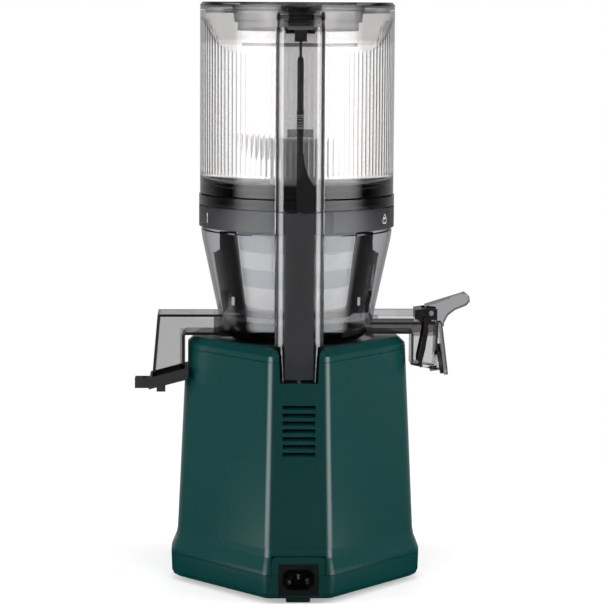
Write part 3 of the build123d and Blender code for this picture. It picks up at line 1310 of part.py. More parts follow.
# ================================================================ rear column and interlock
def column_plan(z, half_w, front, back, edge):
    """Rectangle in plan with its two rear corners rounded."""
    with BuildSketch(at(z)) as plan:
        with Locations((0, (front + back) / 2)):
            Rectangle(2 * half_w, back - front)
        fillet(plan.vertices().group_by(Axis.Y)[-1], edge)
    return plan.sketch


FOOT_PART_Z = NOTCH_FLOOR_Z + SEAM
FOOT_PART_TOP_Z = BASE_TOP_Z + 4.6
COLUMN_IN_Y = COLUMN_Y - COLUMN_WALL
COLUMN_IN_W = COLUMN_HALF_W - COLUMN_WALL
NOTCH_FRONT_Y = REAR_HIGH - NOTCH_DEPTH
SHELL_FRONT_Y = 55.0

with BuildPart() as lower_column:
    shell_z = FOOT_PART_TOP_Z - COLUMN_WALL
    extrude(
        column_plan(shell_z, COLUMN_HALF_W, SHELL_FRONT_Y, COLUMN_Y, COLUMN_EDGE_R),
        amount=RING_TOP_Z - shell_z,
    )
    loft(
        [
            column_plan(FOOT_PART_Z, NOTCH_FLOOR_W / 2 - 0.5, NOTCH_FRONT_Y + 0.5, COLUMN_Y, 2.5).faces()[0],
            column_plan(shell_z + 0.5, NOTCH_TOP_W / 2 - 0.5, NOTCH_FRONT_Y + 0.5, COLUMN_Y, 2.5).faces()[0],
        ],
        ruled=True,
    )
    extrude(
        column_plan(FOOT_PART_TOP_Z, COLUMN_IN_W, SHELL_FRONT_Y - 1, COLUMN_IN_Y, COLUMN_EDGE_R - COLUMN_WALL),
        amount=THROUGH,
        mode=Mode.SUBTRACT,
    )
    foot_hollow_y = (NOTCH_FRONT_Y + 2.5, COLUMN_IN_Y)
    block((-12, 12), foot_hollow_y, (FOOT_PART_Z + 2, FOOT_PART_TOP_Z + 1), mode=Mode.SUBTRACT)
    disc(0, ROD_Y, FOOT_PART_Z - 1, PLUNGER_R + 0.6, 10, mode=Mode.SUBTRACT)
    revolve(drum_face(0.2), axis=Axis.Z, mode=Mode.SUBTRACT)
    disc(0, 0, RING_Z - 0.3, RING_R + FIT, THROUGH, mode=Mode.SUBTRACT)
finish(lower_column, "lower_column")

with BuildPart() as rod_guide:
    block((-11, 11), (66.0, COLUMN_IN_Y - RUNNING), (FOOT_PART_TOP_Z + 0.1, RING_TOP_Z - 0.8))
    block((-11, 11), (NOTCH_FRONT_Y + 2.6, COLUMN_IN_Y - RUNNING), (FOOT_PART_Z + 2.1, FOOT_PART_TOP_Z + 0.2))
    revolve(drum_face(0.4), axis=Axis.Z, mode=Mode.SUBTRACT)
    disc(0, 0, RING_Z - 0.3, RING_R + 2 * FIT, THROUGH, mode=Mode.SUBTRACT)
    disc(0, ROD_Y, FOOT_PART_Z, LOWER_ROD_R + RUNNING, THROUGH, mode=Mode.SUBTRACT)
    disc(0, ROD_Y, FOOT_PART_Z, PLUNGER_R + 0.6, PLUNGER_TOP_Z + 3.6 - FOOT_PART_Z, mode=Mode.SUBTRACT)
finish(rod_guide, "rod_guide")

LOWER_ROD_TOP_Z = RING_TOP_Z + 0.2
with BuildPart() as lower_rod:
    disc(0, ROD_Y, PLUNGER_TOP_Z + LEVEL_GAP, LOWER_ROD_R, LOWER_ROD_TOP_Z - PLUNGER_TOP_Z - LEVEL_GAP)
finish(lower_rod, "lower_rod")

# ================================================================ hopper
BOWL_IN_R = HOPPER_R - HOPPER_WALL
CAM_LOW_Z = HINGE_Z - CAM_OFFSET - CAM_R

with BuildPart() as hopper_bowl:
    with BuildSketch(Plane.XZ) as bowl_half:
        with BuildLine():
            Polyline(
                (THROAT_R + HOPPER_WALL, THROAT_Z + 0.2),
                (THROAT_R + HOPPER_WALL, BOWL_FOOT_Z + 0.1),
                (HOPPER_R, BOWL_FOOT_Z + 0.1),
                (HOPPER_R, BOWL_TOP_Z),
                (BOWL_IN_R, BOWL_TOP_Z),
                (BOWL_IN_R, BOWL_FLOOR_Z + 4),
            )
            ThreePointArc(
                (BOWL_IN_R, BOWL_FLOOR_Z + 4),
                (68.5, BOWL_FLOOR_Z - 2.6),
                (58.0, BOWL_FLOOR_Z - 4.6),
            )
            Polyline(
                (58.0, BOWL_FLOOR_Z - 4.6),
                (THROAT_R, BOWL_FLOOR_Z - 6.4),
                (THROAT_R, THROAT_Z + 0.2),
                (THROAT_R + HOPPER_WALL, THROAT_Z + 0.2),
            )
        make_face()
    revolve(axis=Axis.Z)
    block((-NOTCH_RIM_HALF_W, NOTCH_RIM_HALF_W), (60, 90), (NOTCH_RIM_Z, BOWL_TOP_Z + 2), mode=Mode.SUBTRACT)
finish(hopper_bowl, "hopper_bowl")

with BuildPart() as hopper_seal:
    with BuildSketch(at(STRAINER_TOP_Z + 0.2)):
        Circle(STRAINER_TOP_R + 0.6)
        Circle(THROAT_R + 0.4, mode=Mode.SUBTRACT)
    extrude(amount=THROAT_Z - STRAINER_TOP_Z - 0.2)
finish(hopper_seal, "hopper_seal")

with BuildPart() as hopper_collar:
    with BuildSketch(at(HOPPER_COLLAR_Z)):
        Circle(RING_R)
        Circle(RING_R - 9, mode=Mode.SUBTRACT)
    extrude(amount=BOWL_FOOT_Z - HOPPER_COLLAR_Z)
    with BuildSketch(at(HOPPER_COLLAR_Z + 2)):
        Circle(RING_R - 8.5)
        Circle(THROAT_R + HOPPER_WALL + RUNNING, mode=Mode.SUBTRACT)
    extrude(amount=2.4)
finish(hopper_collar, "hopper_collar")

with BuildPart() as upper_column:
    extrude(
        column_plan(HOPPER_COLLAR_Z, COLUMN_HALF_W, HOPPER_R - 12.5, COLUMN_Y, COLUMN_EDGE_R),
        amount=COLUMN_TOP_Z - HOPPER_COLLAR_Z,
    )
    extrude(
        column_plan(
            HOPPER_COLLAR_Z - 1, COLUMN_IN_W, HOPPER_R - 13.5, COLUMN_IN_Y, COLUMN_EDGE_R - COLUMN_WALL
        ),
        amount=THROUGH,
        mode=Mode.SUBTRACT,
    )
    disc(0, 0, HOPPER_COLLAR_Z - 1, HOPPER_R + 0.2, THROUGH, mode=Mode.SUBTRACT)
    disc(0, 0, HOPPER_COLLAR_Z - 1, RING_R + 0.2, BOWL_FOOT_Z - HOPPER_COLLAR_Z + 1.2, mode=Mode.SUBTRACT)
    for side in (1, -1):
        ear = (side * EAR_X - EAR_T / 2, side * EAR_X + EAR_T / 2)
        block(ear, (HINGE_Y - EAR_R, HINGE_Y + 3.2), (COLUMN_TOP_Z - 5, HINGE_Z))
        with Locations((side * EAR_X, HINGE_Y, HINGE_Z)):
            Cylinder(EAR_R, EAR_T, rotation=(0, 90, 0))
    rod_x(HINGE_Y, HINGE_Z, 30, HINGE_PIN_R + RUNNING, mode=Mode.SUBTRACT)
    # the back wall is cut down behind the knuckle
    knuckle_gap = KNUCKLE_HALF_W + 2 * FIT
    slot_z = (CAM_LOW_Z - 2 * FIT, COLUMN_TOP_Z + 1)
    block((-knuckle_gap, knuckle_gap), (HINGE_Y, COLUMN_Y + 1), slot_z, mode=Mode.SUBTRACT)
finish(upper_column, "upper_column")

with BuildPart() as lid_hinge_pin:
    rod_x(HINGE_Y, HINGE_Z, PIN_HALF_W, HINGE_PIN_R)
finish(lid_hinge_pin, "lid_hinge_pin")

with BuildPart() as hoop_band:
    with BuildSketch(at(HOOP_Z)) as hoop:
        Circle(BOWL_IN_R - RUNNING)
        Circle(BOWL_IN_R - HOOP_T, mode=Mode.SUBTRACT)
        reach = 2 * HOPPER_R
        Polygon(
            (0, 0),
            (reach * sin(radians(HOOP_HALF_ANGLE)), reach * cos(radians(HOOP_HALF_ANGLE))),
            (-reach * sin(radians(HOOP_HALF_ANGLE)), reach * cos(radians(HOOP_HALF_ANGLE))),
            align=None,
            mode=Mode.INTERSECT,
        )
    extrude(amount=HOOP_H)
finish(hoop_band, "hoop_band")

with BuildPart() as rod_bushing:
    block((-WEB_HALF_W, WEB_HALF_W), (HOPPER_R + 0.8, COLUMN_IN_Y - RUNNING), (WEB_Z, WEB_Z + WEB_H))
    disc(0, 0, WEB_Z - 1, HOPPER_R + 0.6, WEB_H + 2, mode=Mode.SUBTRACT)
    disc(0, ROD_Y, WEB_Z - 1, ROD_R + RUNNING, WEB_H + 2, mode=Mode.SUBTRACT)
finish(rod_bushing, "rod_bushing")

with BuildPart() as interlock_rod:
    rod_low_z = FLARE_Z + 7.0
    disc(0, ROD_Y, rod_low_z, ROD_R, ROD_TOP_Z - 2.0 - rod_low_z)
    with Locations((0, ROD_Y, ROD_TOP_Z - 2.2)):
        Sphere(ROD_R)
    disc(0, ROD_Y, ROD_TOP_Z - 3, STEM_R, HEAD_Z - ROD_TOP_Z + 4)
    disc(0, ROD_Y, ROD_FLANGE_Z, ROD_FLANGE_R - 1.6, 1.8)
    block((-HEAD_HALF_W, HEAD_HALF_W), (ROD_Y - 1.8, ROD_Y + 1.8), (HEAD_Z, CAM_LOW_Z - HEAD_GAP))
    foot_low = LOWER_ROD_TOP_Z + LEVEL_GAP
    taper = ROD_FOOT_TOP_Z - FLARE_Z
    foot_side = [
        (ROD_R, foot_low),
        (ROD_R, ROD_FOOT_TOP_Z),
        (-ROD_R, ROD_FOOT_TOP_Z),
        (-3.4, FLARE_Z + 0.70 * taper),
        (-5.4, FLARE_Z + 0.41 * taper),
        (-8.4, FLARE_Z + 0.19 * taper),
        (FOOT_FLARE_X, FLARE_Z),
        (FOOT_FLARE_X, foot_low),
    ]
    slab(foot_side, ROD_Y - 1.8, ROD_Y + 1.8)
finish(interlock_rod, "interlock_rod")

with BuildPart() as rod_spring:
    with BuildSketch(at(WEB_Z + WEB_H + 0.1)):
        with Locations((0, ROD_Y)):
            Circle(ROD_FLANGE_R - 1.7)
            Circle(ROD_R + 0.15, mode=Mode.SUBTRACT)
    extrude(amount=ROD_FLANGE_Z - WEB_Z - WEB_H - 0.2)
finish(rod_spring, "rod_spring")

# ================================================================ lid
def tray_part(low, high, low_r, high_r, mode=Mode.ADD):
    """A cone frustum about the tray's middle, between two heights."""
    with BuildSketch(at(low)) as narrow:
        with Locations((0, TRAY_Y)):
            Circle(low_r)
    with BuildSketch(at(high)) as wide:
        with Locations((0, TRAY_Y)):
            Circle(high_r)
    loft([narrow.sketch, wide.sketch], mode=mode)


with BuildPart() as lid:
    with BuildSketch(Plane.XZ):
        Polygon(
            (0, LID_Z),
            (HOPPER_R, LID_Z),
            (HOPPER_R, LID_TOP_Z - 2),
            (HOPPER_R - 2, LID_TOP_Z),
            (0, LID_TOP_Z),
            align=None,
        )
    revolve(axis=Axis.Z)
    with BuildSketch(at(LID_Z + 0.5)):
        Circle(SKIRT_R)
        Circle(SKIRT_R - SKIRT_T, mode=Mode.SUBTRACT)
    extrude(amount=-SKIRT_DEPTH - 0.5)
    disc(0, 0, LID_Z - 1, SKIRT_R - SKIRT_T, LID_TOP_Z - LID_Z - 1.6, mode=Mode.SUBTRACT)
    # tray: a straight cup below, and a wider flared part above its step
    with BuildSketch(at(TRAY_Z)):
        with Locations((0, TRAY_Y)):
            Circle(TRAY_R)
    extrude(amount=LID_TOP_Z - TRAY_Z)
    tray_part(TRAY_STEP_Z, LID_TOP_Z, TRAY_STEP_R, TRAY_TOP_R)
    with BuildSketch(at(TRAY_Z + TRAY_WALL)):
        with Locations((0, TRAY_Y)):
            Circle(TRAY_R - TRAY_WALL)
    extrude(amount=40, mode=Mode.SUBTRACT)
    tray_part(
        TRAY_STEP_Z + TRAY_WALL,
        LID_TOP_Z,
        TRAY_STEP_R - TRAY_WALL,
        TRAY_TOP_R - TRAY_WALL,
        mode=Mode.SUBTRACT,
    )
    # bridge to the hinge, and the knuckle with its cam
    block((-BRIDGE_HALF_W, BRIDGE_HALF_W), (HOPPER_R - 5.5, BRIDGE_Y), (LID_Z, LID_TOP_Z - 0.4))
    block((-KNUCKLE_HALF_W, KNUCKLE_HALF_W), (HINGE_Y - 4.2, HINGE_Y + 4.2), (HINGE_Z, LID_Z + 1))
    rod_x(HINGE_Y, HINGE_Z, KNUCKLE_HALF_W, KNUCKLE_R)
    rod_x(HINGE_Y, HINGE_Z - CAM_OFFSET, KNUCKLE_HALF_W, CAM_R)
    block(
        (-KNUCKLE_HALF_W, KNUCKLE_HALF_W), (HINGE_Y - CAM_R, HINGE_Y + CAM_R), (HINGE_Z - CAM_OFFSET, HINGE_Z)
    )
    rod_x(HINGE_Y, HINGE_Z, 30, HINGE_PIN_R + RUNNING, mode=Mode.SUBTRACT)
finish(lid, "lid")
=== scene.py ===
"""Finishes and fine pieces of an upright cold press juicer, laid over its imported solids.

Lengths are in metres. +Z is up along the drive axis, the front with the knob is at -Y, the back
with the column and the mains inlet at +Y, the pulp outlet at +X and the juice outlet at -X.
"""

import math

import bpy
import numpy as np
from bpy.props import FloatProperty, FloatVectorProperty, IntProperty, PointerProperty
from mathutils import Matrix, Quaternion, Vector


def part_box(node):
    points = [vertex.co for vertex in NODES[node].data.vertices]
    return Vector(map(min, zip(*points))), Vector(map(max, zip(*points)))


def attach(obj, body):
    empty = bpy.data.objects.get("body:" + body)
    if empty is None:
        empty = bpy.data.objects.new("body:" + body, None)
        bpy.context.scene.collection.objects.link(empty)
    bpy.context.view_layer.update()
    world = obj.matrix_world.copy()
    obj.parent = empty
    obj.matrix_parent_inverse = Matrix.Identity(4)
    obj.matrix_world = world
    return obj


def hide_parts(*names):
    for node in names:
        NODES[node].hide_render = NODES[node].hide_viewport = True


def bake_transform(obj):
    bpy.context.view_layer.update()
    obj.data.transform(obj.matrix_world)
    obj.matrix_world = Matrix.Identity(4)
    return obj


bl_info = {
    "name": "Cold press juicer",
    "version": (1, 0, 0),
    "blender": (4, 5, 0),
    "location": "View3D > Sidebar > Juicer",
    "description": "Finishes and fine pieces of an upright cold press juicer",
    "category": "Object",
}

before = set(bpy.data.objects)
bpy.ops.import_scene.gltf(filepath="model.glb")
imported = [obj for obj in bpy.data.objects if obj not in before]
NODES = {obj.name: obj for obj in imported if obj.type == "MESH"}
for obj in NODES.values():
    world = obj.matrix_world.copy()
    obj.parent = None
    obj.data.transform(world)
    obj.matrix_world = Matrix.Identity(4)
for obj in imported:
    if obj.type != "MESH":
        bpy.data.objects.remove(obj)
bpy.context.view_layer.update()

STRAINER_FOOT_Z = 0.2036
STRAINER_FOOT_R = 0.038
STRAINER_SPREAD = 0.118
SCREEN_BANDS = ((0.2225, 0.2395), (0.2540, 0.2680))
SCREEN_OUT = 0.00012
SCREEN_T = 0.00040
SCREEN_HOLE = 0.33
RING_R = 0.0782
RING_MID_Z = 0.2955
RING_LINE_BEARING = math.radians(66)
RING_LOCK_BEARING = math.radians(61)
MARK_DEPTH = 0.00006
KNOB_Z = 0.0960
BEZEL_Y = -0.0936
GRIP_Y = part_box("control_knob")[0][1]
DIAL_TURN = math.radians(45)
DIAL_REACH = 0.0210
POINTER_REACH = 0.0130
GRAIN_HEIGHT = 0.00006
RIPPLE_HEIGHT = 0.0001
SCRATCH_HEIGHT = 0.00003
WALL_LOSS_HUE = (0.899, 0.899, 0.901)
FLUTE_SAMPLES = 8
COIL_STEPS = 24
COIL_SIDES = 8
COIL_FLAT = 0.06
ROD_Y = 0.0815
SPRING_LOW_Z = 0.3681
SPRING_HIGH_Z = 0.3801
SPRING_R = 0.00285
SLIT_PLATES = ((0.0471, 0.2255, 0.0025, 0.0038), (0.0533, 0.2255, 0.0013, 0.0038))
SLIT_HALF_Y = 0.0017
WALL_GLOW = 0.42
ROOM_GLOW = 0.04
WALL_FADE = (-0.90, 0.05)
BOX_BEARING = 50
BOX_REACH = 34
BOX_GLOW = 4.3
OVERHEAD_FADE = (0.20, 0.60)
OVERHEAD_GLOW = 0.05
FILL_GLOW = 0.22
FLOOR_HALF = 60.0
FLOOR_LIFT = 0.36
FLOOR_FADE = (0.25, 0.65)
FLOOR_MIRROR_FADE = (0.12, 0.40)
LAMP_AIM_Z = 0.24
CAMERA_PLACE = (0.0615, 1.9989, 0.4667)
CAMERA_AZIMUTH = 178.1
CAMERA_ELEVATION = 6.9
CAMERA_ROLL = 0.33
CAMERA_LENS = 148.8


# ---------------------------------------------------------------- settings
class JuicerSizes(bpy.types.PropertyGroup):
    """Sizes of the fine pieces."""

    flute_count: IntProperty(
        name="Flutes", description="Ribs round the inside of the hopper", default=114, min=12
    )
    flute_depth: FloatProperty(
        name="Flute depth", description="How far a rib stands in from its groove", default=0.0005,
        unit="LENGTH",
    )
    screen_columns: IntProperty(
        name="Screen columns", description="Holes round each band of the juice screen", default=150, min=12
    )
    spring_turns: IntProperty(name="Spring turns", description="Coils of the rod spring", default=7, min=2)
    spring_wire: FloatProperty(
        name="Spring wire", description="Diameter of the spring's wire", default=0.0007, unit="LENGTH"
    )


class JuicerColours(bpy.types.PropertyGroup):
    """Colours of the finishes, as linear light."""

    shell: FloatVectorProperty(
        name="Shell", description="Satin lacquer of the motor base", subtype="COLOR", size=3,
        default=(0.0012, 0.0405, 0.0375), min=0, max=1,
    )
    smoke: FloatVectorProperty(
        name="Smoke", description="Tint of the drum", subtype="COLOR", size=3,
        default=(0.85, 0.848, 0.848), min=0, max=1,
    )
    clear: FloatVectorProperty(
        name="Clear", description="Tint of the hopper", subtype="COLOR", size=3,
        default=(0.984, 0.980, 0.975), min=0, max=1,
    )
    screen: FloatVectorProperty(
        name="Screen", description="Pale plastic of the strainer", subtype="COLOR", size=3,
        default=(0.42, 0.455, 0.50), min=0, max=1,
    )


def sizes():
    """The panel's sizes."""
    return bpy.context.scene.juicer_sizes


def colours():
    """The panel's colours."""
    return bpy.context.scene.juicer_colours


# ---------------------------------------------------------------- shader helpers
def wire(tree, source, target):
    """Links one socket to another."""
    tree.links.new(source, target)


def arith(tree, operation, *terms, kind="ShaderNodeMath", result=0):
    """A Math or Vector Math node on sockets or plain values, by one of its results."""
    node = tree.nodes.new(kind)
    node.operation = operation
    for index, term in enumerate(terms):
        if isinstance(term, bpy.types.NodeSocket):
            wire(tree, term, node.inputs[index])
        else:
            node.inputs[index].default_value = term
    return node.outputs[result]


def split(tree, vector):
    """The three parts of a vector, by their labels."""
    node = tree.nodes.new("ShaderNodeSeparateXYZ")
    wire(tree, vector, node.inputs[0])
    return node.outputs


def ease(tree, value, low, high, start=0.0, end=1.0):
    """Goes smoothly from start, where the value is low, to end, where it is high."""
    node = tree.nodes.new("ShaderNodeMapRange")
    node.interpolation_type = "SMOOTHSTEP"
    wire(tree, value, node.inputs["Value"])
    for label, number in (("From Min", low), ("From Max", high), ("To Min", start), ("To Max", end)):
        node.inputs[label].default_value = number
    return node.outputs["Result"]


def blend_colours(tree, share, first, second):
    """Mixes two colours, each a plain triple or a socket."""
    node = tree.nodes.new("ShaderNodeMix")
    node.data_type = "RGBA"
    wire(tree, share, node.inputs["Factor"])
    for label, colour in (("A", first), ("B", second)):
        if isinstance(colour, bpy.types.NodeSocket):
            wire(tree, colour, node.inputs[label])
        else:
            node.inputs[label].default_value = (*colour[:3], 1)
    return node.outputs["Result"]


def blend_shaders(tree, share, first, second):
    """Mixes two shaders."""
    node = tree.nodes.new("ShaderNodeMixShader")
    wire(tree, share, node.inputs["Fac"])
    wire(tree, first, node.inputs[1])
    wire(tree, second, node.inputs[2])
    return node.outputs[0]


def ways_of_sight(tree):
    """Two masks. The first is one where the camera sees a thing directly or through clear plastic alone,
    and the second where it sees it mirrored, before any diffuse bounce."""
    path = tree.nodes.new("ShaderNodeLightPath")
    undiffused = arith(tree, "LESS_THAN", path.outputs["Diffuse Depth"], 0.5)
    unmirrored = arith(tree, "LESS_THAN", path.outputs["Glossy Depth"], 0.5)
    through = arith(tree, "MULTIPLY", path.outputs["Is Transmission Ray"], undiffused)
    glossy = arith(tree, "MULTIPLY", path.outputs["Is Glossy Ray"], undiffused)
    clear_way = arith(tree, "MULTIPLY", through, unmirrored)
    straight = arith(tree, "MAXIMUM", path.outputs["Is Camera Ray"], clear_way)
    return straight, arith(tree, "MAXIMUM", glossy, through)


def start_group(name, inputs):
    """A new node group that puts out a height and a roughness, with the sockets of its two ends."""
    tree = bpy.data.node_groups.new(name, "ShaderNodeTree")
    tree.interface.new_socket("Coordinates", in_out="INPUT", socket_type="NodeSocketVector")
    for label, kind, value in inputs:
        socket = tree.interface.new_socket(label, in_out="INPUT", socket_type=kind)
        socket.default_value = value
    for label in ("Height", "Roughness"):
        tree.interface.new_socket(label, in_out="OUTPUT", socket_type="NodeSocketFloat")
    return tree, tree.nodes.new("NodeGroupInput").outputs, tree.nodes.new("NodeGroupOutput").inputs


def fine_grain_group():
    """Shared effect: a moulded or sprayed surface's fine unevenness.

    Two noises on the given coordinates, one coarse and one fine, are added with their weights. The
    group puts out the height for a bump and a roughness that wanders about its base value.
    """
    name = "Fine grain"
    found = bpy.data.node_groups.get(name)
    if found:
        return found
    tree, given, put = start_group(name, (
        ("Coarse scale", "NodeSocketFloat", 40.0),
        ("Fine scale", "NodeSocketFloat", 900.0),
        ("Roughness", "NodeSocketFloat", 0.3),
        ("Spread", "NodeSocketFloat", 0.05),
    ))
    coarse, fine = (tree.nodes.new("ShaderNodeTexNoise") for _ in range(2))
    fine.inputs["Detail"].default_value = 1.0
    for noise, scale in ((coarse, "Coarse scale"), (fine, "Fine scale")):
        wire(tree, given["Coordinates"], noise.inputs["Vector"])
        wire(tree, given[scale], noise.inputs["Scale"])
    fine_weight = 0.35
    height = arith(tree, "MULTIPLY_ADD", fine.outputs["Fac"], fine_weight, coarse.outputs["Fac"])
    wire(tree, height, put["Height"])
    centred = arith(tree, "SUBTRACT", coarse.outputs["Fac"], 0.5)
    wander = arith(tree, "MULTIPLY_ADD", centred, given["Spread"], given["Roughness"])
    wire(tree, wander, put["Roughness"])
    return tree


def brushed_group():
    """Shared effect: fine parallel scratches, a noise on coordinates that are stretched along one axis.
    The roughness rises from its base value by a share of the noise."""
    name = "Brushed lines"
    found = bpy.data.node_groups.get(name)
    if found:
        return found
    tree, given, put = start_group(name, (
        ("Stretch", "NodeSocketVector", (1500.0, 1500.0, 40.0)),
        ("Roughness", "NodeSocketFloat", 0.3),
    ))
    stretched = arith(tree, "MULTIPLY", given["Coordinates"], given["Stretch"], kind="ShaderNodeVectorMath")
    noise = tree.nodes.new("ShaderNodeTexNoise")
    noise.inputs["Scale"].default_value = 1.0
    wire(tree, stretched, noise.inputs["Vector"])
    wire(tree, noise.outputs["Fac"], put["Height"])
    rise = 0.2
    wander = arith(tree, "MULTIPLY_ADD", noise.outputs["Fac"], rise, given["Roughness"])
    wire(tree, wander, put["Roughness"])
    return tree


def new_material(name):
    """An empty node material with its Principled shader, output and Object coordinates."""
    material = bpy.data.materials.new(name)
    material.use_nodes = True
    tree = material.node_tree
    tree.nodes.clear()
    output = tree.nodes.new("ShaderNodeOutputMaterial")
    shader = tree.nodes.new("ShaderNodeBsdfPrincipled")
    place = tree.nodes.new("ShaderNodeTexCoord")
    wire(tree, shader.outputs[0], output.inputs["Surface"])
    return material, tree, shader, output, place.outputs["Object"]


def add_group(tree, group, place, values):
    """Places a shared effect in a material with its own values."""
    node = tree.nodes.new("ShaderNodeGroup")
    node.node_tree = group
    wire(tree, place, node.inputs["Coordinates"])
    for label, value in values.items():
        node.inputs[label].default_value = value
    return node


def add_bump(tree, shader, height, strength, distance):
    """Feeds a height to the shader's Normal through a bump."""
    bump = tree.nodes.new("ShaderNodeBump")
    bump.inputs["Strength"].default_value = strength
    bump.inputs["Distance"].default_value = distance
    wire(tree, height, bump.inputs["Height"])
    wire(tree, bump.outputs["Normal"], shader.inputs["Normal"])


def tinted(tree, place, colour, shift, scale):
    """A colour that wanders by the given share of its own brightness, as pigment does."""
    noise = tree.nodes.new("ShaderNodeTexNoise")
    noise.inputs["Scale"].default_value = scale
    wire(tree, place, noise.inputs["Vector"])
    ramp = tree.nodes.new("ShaderNodeMix")
    ramp.data_type = "RGBA"
    ramp.inputs["A"].default_value = (*[c * (1 - shift) for c in colour[:3]], 1)
    ramp.inputs["B"].default_value = (*[min(1.0, c * (1 + shift)) for c in colour[:3]], 1)
    wire(tree, noise.outputs["Fac"], ramp.inputs["Factor"])
    return ramp.outputs["Result"]


def region_tint(tree, place, colour, regions):
    """A surface tint that changes over the form. A region is a box in x and z with its own tone, and
    its mask is the product of a smooth step at each of its four sides."""
    step = 0.0015
    axes = split(tree, place)
    for across, up, tone in regions:
        mask = None
        for axis, (start, end) in (("X", across), ("Z", up)):
            for side in (ease(tree, axes[axis], start - step, start),
                         ease(tree, axes[axis], end, end + step, 1.0, 0.0)):
                mask = side if mask is None else arith(tree, "MULTIPLY", mask, side)
        colour = blend_colours(tree, mask, colour, tone)
    return colour


def moulded(
    name, colour, roughness, grain=0.15, coarse=40.0, fine=900.0, specular=0.5, shift=0.06, coat=0.0,
    regions=(),
):
    """Opaque moulded or sprayed plastic and rubber: wandering pigment, fine grain, a dielectric gloss,
    a clear coat where asked, and regions of other tones."""
    material, tree, shader, _, place = new_material(name)
    pigment = region_tint(tree, place, tinted(tree, place, colour, shift, coarse), regions)
    wire(tree, pigment, shader.inputs["Base Color"])
    group = add_group(
        tree, fine_grain_group(), place,
        {"Coarse scale": coarse, "Fine scale": fine, "Roughness": roughness, "Spread": 0.08},
    )
    wire(tree, group.outputs["Roughness"], shader.inputs["Roughness"])
    shader.inputs["Specular IOR Level"].default_value = specular
    shader.inputs["Coat Weight"].default_value = coat
    shader.inputs["Coat Roughness"].default_value = roughness
    add_bump(tree, shader, group.outputs["Height"], grain, GRAIN_HEIGHT)
    return material


def metal(name, colour, roughness, stretch=(1500.0, 1500.0, 40.0), grain=0.1):
    """Bare metal with fine scratches along one axis."""
    material, tree, shader, _, place = new_material(name)
    wire(tree, tinted(tree, place, colour, 0.08, 60.0), shader.inputs["Base Color"])
    shader.inputs["Metallic"].default_value = 1.0
    group = add_group(tree, brushed_group(), place, {"Stretch": stretch, "Roughness": roughness})
    wire(tree, group.outputs["Roughness"], shader.inputs["Roughness"])
    add_bump(tree, shader, group.outputs["Height"], grain, SCRATCH_HEIGHT)
    return material


def clear_plastic(name, tint, loss, roughness=0.02, ripple=0.02, coat=0.0):
    """Clear or smoky plastic that bends and mirrors light, lets lamps through, and darkens with depth.

    Light that goes a way w through the wall keeps the share exp(-loss w). Absorption takes off one less
    its colour for each unit of density, so the density is loss over the mean of one less the hue. The
    tint acts once at each surface. It is a colour, or a function that maps one over the piece.
    """
    material, tree, shader, output, place = new_material(name)
    colour = tint(tree, place) if callable(tint) else tinted(tree, place, tint, 0.015, 14.0)
    wire(tree, colour, shader.inputs["Base Color"])
    shader.inputs["Transmission Weight"].default_value = 1.0
    shader.inputs["IOR"].default_value = 1.49
    shader.inputs["Coat Weight"].default_value = coat
    shader.inputs["Coat Roughness"].default_value = 0.06
    group = add_group(
        tree, fine_grain_group(), place,
        {"Coarse scale": 22.0, "Fine scale": 420.0, "Roughness": roughness, "Spread": 0.015},
    )
    wire(tree, group.outputs["Roughness"], shader.inputs["Roughness"])
    add_bump(tree, shader, group.outputs["Height"], ripple, RIPPLE_HEIGHT)
    inside = tree.nodes.new("ShaderNodeVolumeAbsorption")
    inside.inputs["Color"].default_value = (*WALL_LOSS_HUE, 1)
    inside.inputs["Density"].default_value = loss / (1.0 - sum(WALL_LOSS_HUE) / 3)
    wire(tree, inside.outputs[0], output.inputs["Volume"])
    lamps = tree.nodes.new("ShaderNodeBsdfTransparent")
    lamps.inputs["Color"].default_value = (0.96, 0.96, 0.96, 1)
    path = tree.nodes.new("ShaderNodeLightPath")
    both = blend_shaders(tree, path.outputs["Is Shadow Ray"], shader.outputs[0], lamps.outputs[0])
    wire(tree, both, output.inputs["Surface"])
    return material


def dress(node, material):
    """Gives a CAD node's object one material."""
    mesh = NODES[node].data
    mesh.materials.clear()
    mesh.materials.append(material)


# ---------------------------------------------------------------- mesh helpers
def grid_faces(rows, columns, wrap_columns=False, wrap_rows=False):
    """Quads of a grid whose vertices run row by row: each joins a vertex, the next in its row, and
    the two above, wrapping round where asked."""
    r = np.arange(rows if wrap_rows else rows - 1)[:, None]
    c = np.arange(columns if wrap_columns else columns - 1)[None, :]
    r2 = (r + 1) % rows
    c2 = (c + 1) % columns
    return np.stack(
        [r * columns + c, r * columns + c2, r2 * columns + c2, r2 * columns + c], axis=-1
    ).reshape(-1, 4)


def add_piece(name, points, faces, material, body, slot, smooth=True):
    """Makes a mesh piece from an array of points and a list of faces, in its place, and lets it ride
    on a body. A piece that stretches between two bodies is given none."""
    mesh = bpy.data.meshes.new(name)
    mesh.from_pydata(points.reshape(-1, 3).tolist(), [], faces)
    mesh.polygons.foreach_set("use_smooth", np.full(len(mesh.polygons), smooth))
    mesh.materials.append(material)
    mesh.update()
    piece = bpy.data.objects.new(name, mesh)
    bpy.context.scene.collection.objects.link(piece)
    if body:
        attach(piece, body)
    return piece


def join(shapes):
    """Joins shapes of points and faces into one."""
    points, faces, start = [], [], 0
    for each, its_faces in shapes:
        points.append(each)
        faces += [[start + k for k in face] for face in its_faces]
        start += len(each)
    return np.concatenate(points), faces


